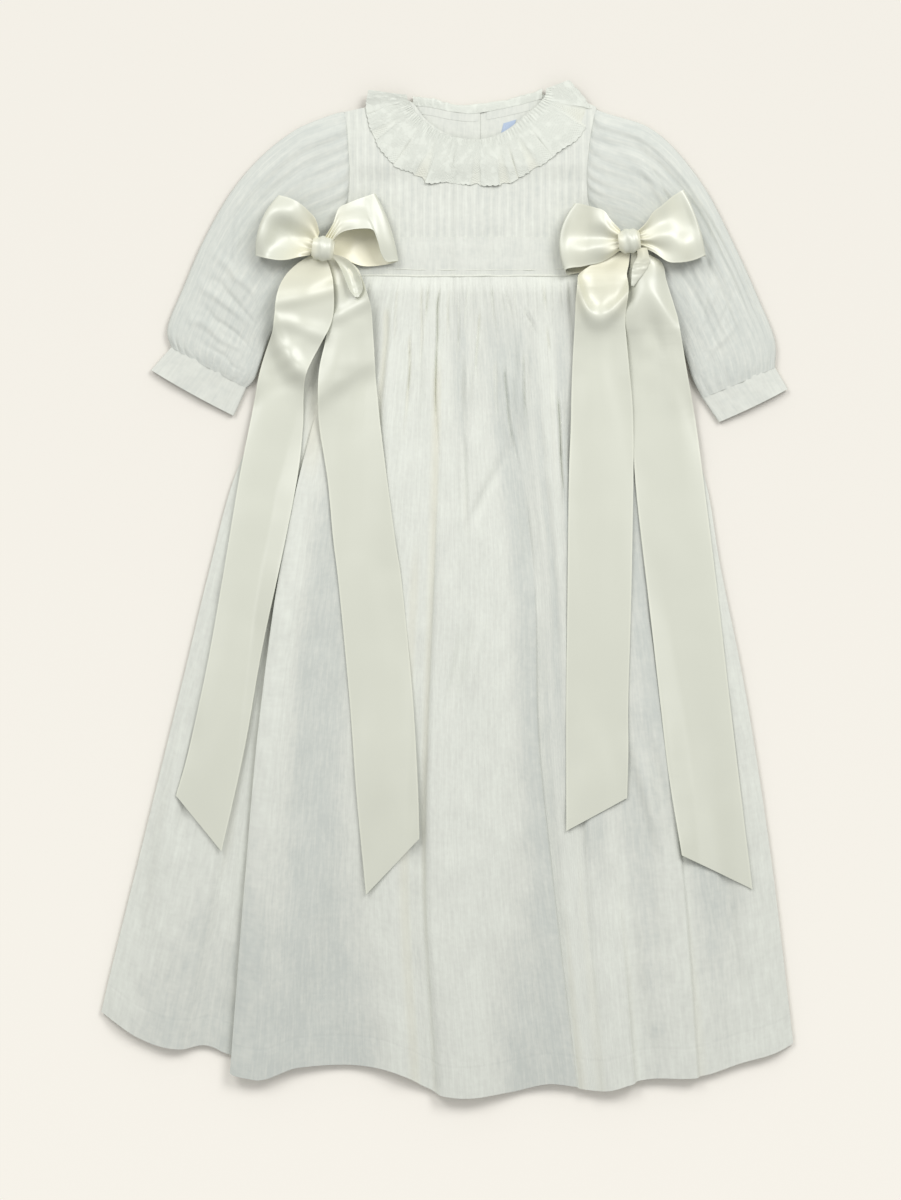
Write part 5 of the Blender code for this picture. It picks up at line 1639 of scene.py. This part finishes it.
LOOP_ARCH = (
    (0.00, 0, 5, 0, -5, 9, 9, 9, 9, 9, 1),
    (0.10, 8, 12, 9, -14, 6, 5, 5, 5, 6, 1),
    (0.22, 20, 22, 18.6, -21.6, 2.5, 1.5, 1.5, 2, 2.5, 1),
    (0.38, 36, 27, 36, -26.8, 1, 0.8, 0.8, 0.8, 1.5, 0.8),
    (0.50, 47.5, 28, 46, -27.9, 4.5, 4.5, 4.5, 4.5, 4.5, 0.1),
    (0.56, 46.5, 28.2, 43, -27.2, 9, 10.5, 11, 10, 8, 0),
    (0.61, 44, 28.4, 37.5, -25.5, 10, 12, 13.5, 13, 10, 0),
    (0.67, 41, 28.4, 35.5, -19, 10, 13, 15.5, 16, 14, 0),
    (0.73, 37, 28.4, 36.4, -9, 10, 12.5, 15.5, 17.5, 17, 0),
    (0.78, 32, 28.2, 36.0, 0.3, 10, 12.5, 15.5, 18, 18.5, 0),
    (0.84, 25, 27.8, 28, 5, 10, 12.5, 15.5, 18, 19, 0.05),
    (0.90, 16, 26, 15, 7.6, 11, 13, 15.5, 17.5, 18, 0.2),
    (0.95, 8.5, 17, 7, 6, 13, 14, 15, 16, 16.5, 0.5),
    (1.00, -1, 9, -1, 0, 14, 14, 14, 14, 14, 0.9),
)

# %% The right bow's loops
# Columns: as for the left bow.
LOOP_DOMES = (
    (0.00, 0, 5, 0, -5, 9, 9, 9, 9, 9, 1),
    (0.12, 10, 12, 11, -18, 4, 4, 4, 4, 4, 1),
    (0.26, 20, 20, 24, -25, 1.2, 1.2, 1.2, 1.2, 1.2, 1),
    (0.40, 30, 25, 34, -27.6, 0.6, 0.6, 0.6, 0.6, 0.6, 0.6),
    (0.50, 34.3, 27, 38.8, -28.3, 4.5, 4.5, 4.5, 4.5, 4.5, 0),
    (0.56, 33.8, 27.2, 39.5, -25, 10, 12, 12.5, 12, 9.5, 0),
    (0.62, 30, 27, 35, -23.4, 11, 10.8, 10, 11.5, 10, 0.1),
    (0.70, 24, 25.4, 28, -22.4, 11, 9.2, 8.6, 13, 9.5, 0.15),
    (0.78, 18, 24, 21, -20.6, 11, 11.5, 9.5, 15, 10, 0.1),
    (0.86, 11, 21.4, 13, -18.6, 12, 14.5, 10, 15, 10, 0.1),
    (0.93, 5.5, 14.5, 6.5, -15.3, 12, 15, 11, 14.5, 10.5, 0.4),
    (1.00, -2, 7, -2, -9, 13, 14, 12, 14, 11, 0.9),
)
LOOP_FAN = (
    (0.00, 0, 5, 0, -5, 9, 9, 9, 9, 9, 1),
    (0.12, 10, 11, 10, -15, 5, 5, 5, 5, 5, 1),
    (0.26, 24, 19, 24, -24, 1.5, 1.5, 1.5, 1.5, 1.5, 1),
    (0.40, 38, 25, 38, -26, 0.6, 0.6, 0.6, 0.6, 0.6, 0.6),
    (0.50, 43, 27.2, 45.6, -27.3, 4.5, 4.5, 4.5, 4.5, 4.5, 0),
    (0.56, 42.2, 27, 44.5, -27, 11, 12.5, 12.5, 12, 10, 0),
    (0.62, 38, 26, 38.5, -28, 12, 10.5, 10.5, 12.5, 10.5, 0.05),
    (0.70, 31, 23.6, 31, -28, 12, 9, 10, 13.5, 10.5, 0.15),
    (0.78, 23, 19.8, 23, -26.8, 12.5, 9.5, 13, 12, 11.5, 0.1),
    (0.86, 15, 16.6, 15, -23.4, 13.5, 11, 14.5, 10.5, 12, 0.2),
    (0.93, 7, 9.8, 7, -14, 14.5, 11.5, 14, 11, 12, 0.4),
    (1.00, -2, 5, -2, -6, 14, 12, 14, 12, 12, 0.8),
)

# %% Places of the loops and knots
# Columns: bow, loop, x and y of the knot's end, direction in degrees, which side is its upper
# one, how far the outer fold bulges, shape.
LOOPS = (
    ("bow_left", "loop_left", -105.5, 268.5, 156, -1, 5.5, LOOP_SPOON),
    ("bow_left", "loop_right", -90.5, 266.7, 20.4, 1, 3.0, LOOP_ARCH),
    ("bow_right", "loop_left", 134.8, 273.2, 178, -1, 8.0, LOOP_DOMES),
    ("bow_right", "loop_right", 153.0, 274.0, 15.9, 1, 2.4, LOOP_FAN),
)
# Columns: bow, x and y of its knot, degrees that the knot is turned.
BOWS = (
    ("bow_left", -96.5, 265.5, -8),
    ("bow_right", 144.0, 271.5, 6),
)
LOOP_LENGTH = 112.0
KNOT_LONG = 17.0
KNOT_WIDE = 19.0
KNOT_HIGH = 16.0
KNOT_LIFT = 5.0


# %% Loops
def loop_surface(x0, y0, degrees, upper, bulge, table):
    """A loop from its table, laid along a direction from the knot's end and set on the cloth below.

    The outer fold bulges as a parabola across the ribbon, and pleats, a cosine across, fade out
    from the knot.
    """
    angle = math.radians(degrees)
    way = np.array([math.cos(angle), math.sin(angle)])
    up = upper * np.array([-math.sin(angle), math.cos(angle)])

    def surface(u, v):
        high_out, high_side, low_out, low_side, *heights, warm = through(table, v)
        rounded = bulge * (1 - (2 * u - 1) ** 2) * bump_at(np.clip((v - 0.54) / 0.20, -1, 1))
        out = mix(high_out, low_out, u) + rounded
        side = mix(high_side, low_side, u)
        x = x0 + way[0] * out + up[0] * side
        y = y0 + way[1] * out + up[1] * side
        pleats = 0.9 * np.cos(2 * math.pi * 3.5 * u) * np.exp(-((out / 9.0) ** 2)) * (v > 0.5)
        z = across_five(np.array(heights), u) + pleats + 0.25 * hills(u * 5, v * 9, 7)
        return np.array([x, y, rests(x, y) + CLEAR + SATIN_WALL / 2 + z, warm])

    return surface


for bow, loop, x, y, degrees, upper, bulge, table in LOOPS:
    surface = loop_surface(x, y, degrees, upper, bulge, table)
    flat = flat_sheet(RIBBON_MM, LOOP_LENGTH)
    piece = cloth(f"{bow}_{loop}_satin", surface, flat, 44, 130, SATIN_WALL, satin)
    stand_for(f"{bow}_{loop}")
    print(piece.name, TRIANGLES[piece.name], "triangles")

# %% [markdown]
# The knot is the same ribbon, wrapped once round the middle and pulled tight. It is a short
# barrel with pleats running round it: a circle carried along a line, its radius swelling in the
# middle and rippling along the line. Two short folds of ribbon escape below the knots.

# %% Knots
def knot_surface(x0, y0, z0, degrees, seed):
    """A circle carried along a line at an angle, its radius swelling and rippling along it."""
    angle = math.radians(degrees)

    def surface(u, v):
        t = 2 * v - 1
        swell = np.sqrt(1 - 0.50 * t * t)
        swell = swell + 0.040 * np.cos(2.6 * math.pi * t + 2.2 * np.sin(2 * math.pi * u + seed))
        turn = 2 * math.pi * u
        along = (t + 0.14 * np.sin(turn) * (1 - t * t)) * KNOT_LONG / 2
        over = KNOT_WIDE / 2 * np.cos(turn) * swell
        x = x0 + along * math.cos(angle) - over * math.sin(angle)
        y = y0 + along * math.sin(angle) + over * math.cos(angle)
        z = z0 + KNOT_HIGH / 2 * np.sin(turn) * swell + 0.5 * hills(u * 7, v * 4, seed)
        # The fourth value is painted warm light where the knot's ends turn into the loops.
        return np.array([x, y, z, 0.45 * ease(np.abs(t) * 1.6 - 0.6)])

    return surface


for number, (bow, x, y, degrees) in enumerate(BOWS):
    height = float(rests(np.array([x]), np.array([y]))[0]) + KNOT_LIFT + KNOT_HIGH / 2
    surface = knot_surface(x, y, height, degrees, 101 + number)
    flat = flat_sheet(RIBBON_MM, 16.0)
    knot = cloth(f"{bow}_knot_satin", surface, flat, 80, 48, SATIN_WALL, satin, around=True)
    stand_for(f"{bow}_knot")

# %% Short folds below the knots
# Columns: as for the tails.
TONGUE = (
    (262, -92, 260, -82, 13, 13, 13, 13, 13, 0.6),
    (256, -86.5, 256, -75.5, 12, 11, 11, 12, 13.5, 0.3),
    (249, -82.4, 249, -70.3, 12.5, 9.5, 8.5, 10, 14, 0.1),
    (239, -78.4, 240, -66.5, 12.5, 9, 8, 9.5, 13.5, 0),
    (232, -75.4, 233, -65.6, 12, 9.5, 9, 10, 12.5, 0),
    (227.4, -71.5, 227.6, -68.5, 12, 12, 12, 12, 12, 0),
)
POINT = (
    (266, 150, 266, 158, 15, 15, 15, 15, 15, 0.8),
    (259, 150.5, 259, 159.6, 12, 13, 14, 13, 12, 0.4),
    (253, 147.4, 253, 159.2, 11, 12.5, 13, 12.5, 11, 0.2),
    (246, 146.2, 246, 155, 11, 11.5, 12, 12, 11, 0.1),
    (236.5, 145.8, 236.5, 148, 11, 11, 11, 11, 11, 0),
)
# Columns: name, table, flat size in m, seed.
SHORT_FOLDS = (
    ("bow_left_tongue", TONGUE, (0.014, 0.042), 95),
    ("bow_right_point", POINT, (0.0125, 0.032), 96),
)


def middle_of_ribbon(u, v):
    """Flat place of a short fold: a patch of the ribbon that keeps clear of its edges."""
    return 12 + 12 * u, 40 * v


for name, table, flat, seed in SHORT_FOLDS:
    surface = laid_ribbon(table, (), rests, seed)
    fold = cloth(f"{name}_satin", surface, middle_of_ribbon, 16, 40, SATIN_WALL, satin)
    area = 0.75 * flat[0] * flat[1]

# %% Sizes for the record, and the end
print("triangles:", sum(TRIANGLES.values()), "largest:", max(TRIANGLES.items(), key=lambda item: item[1]))
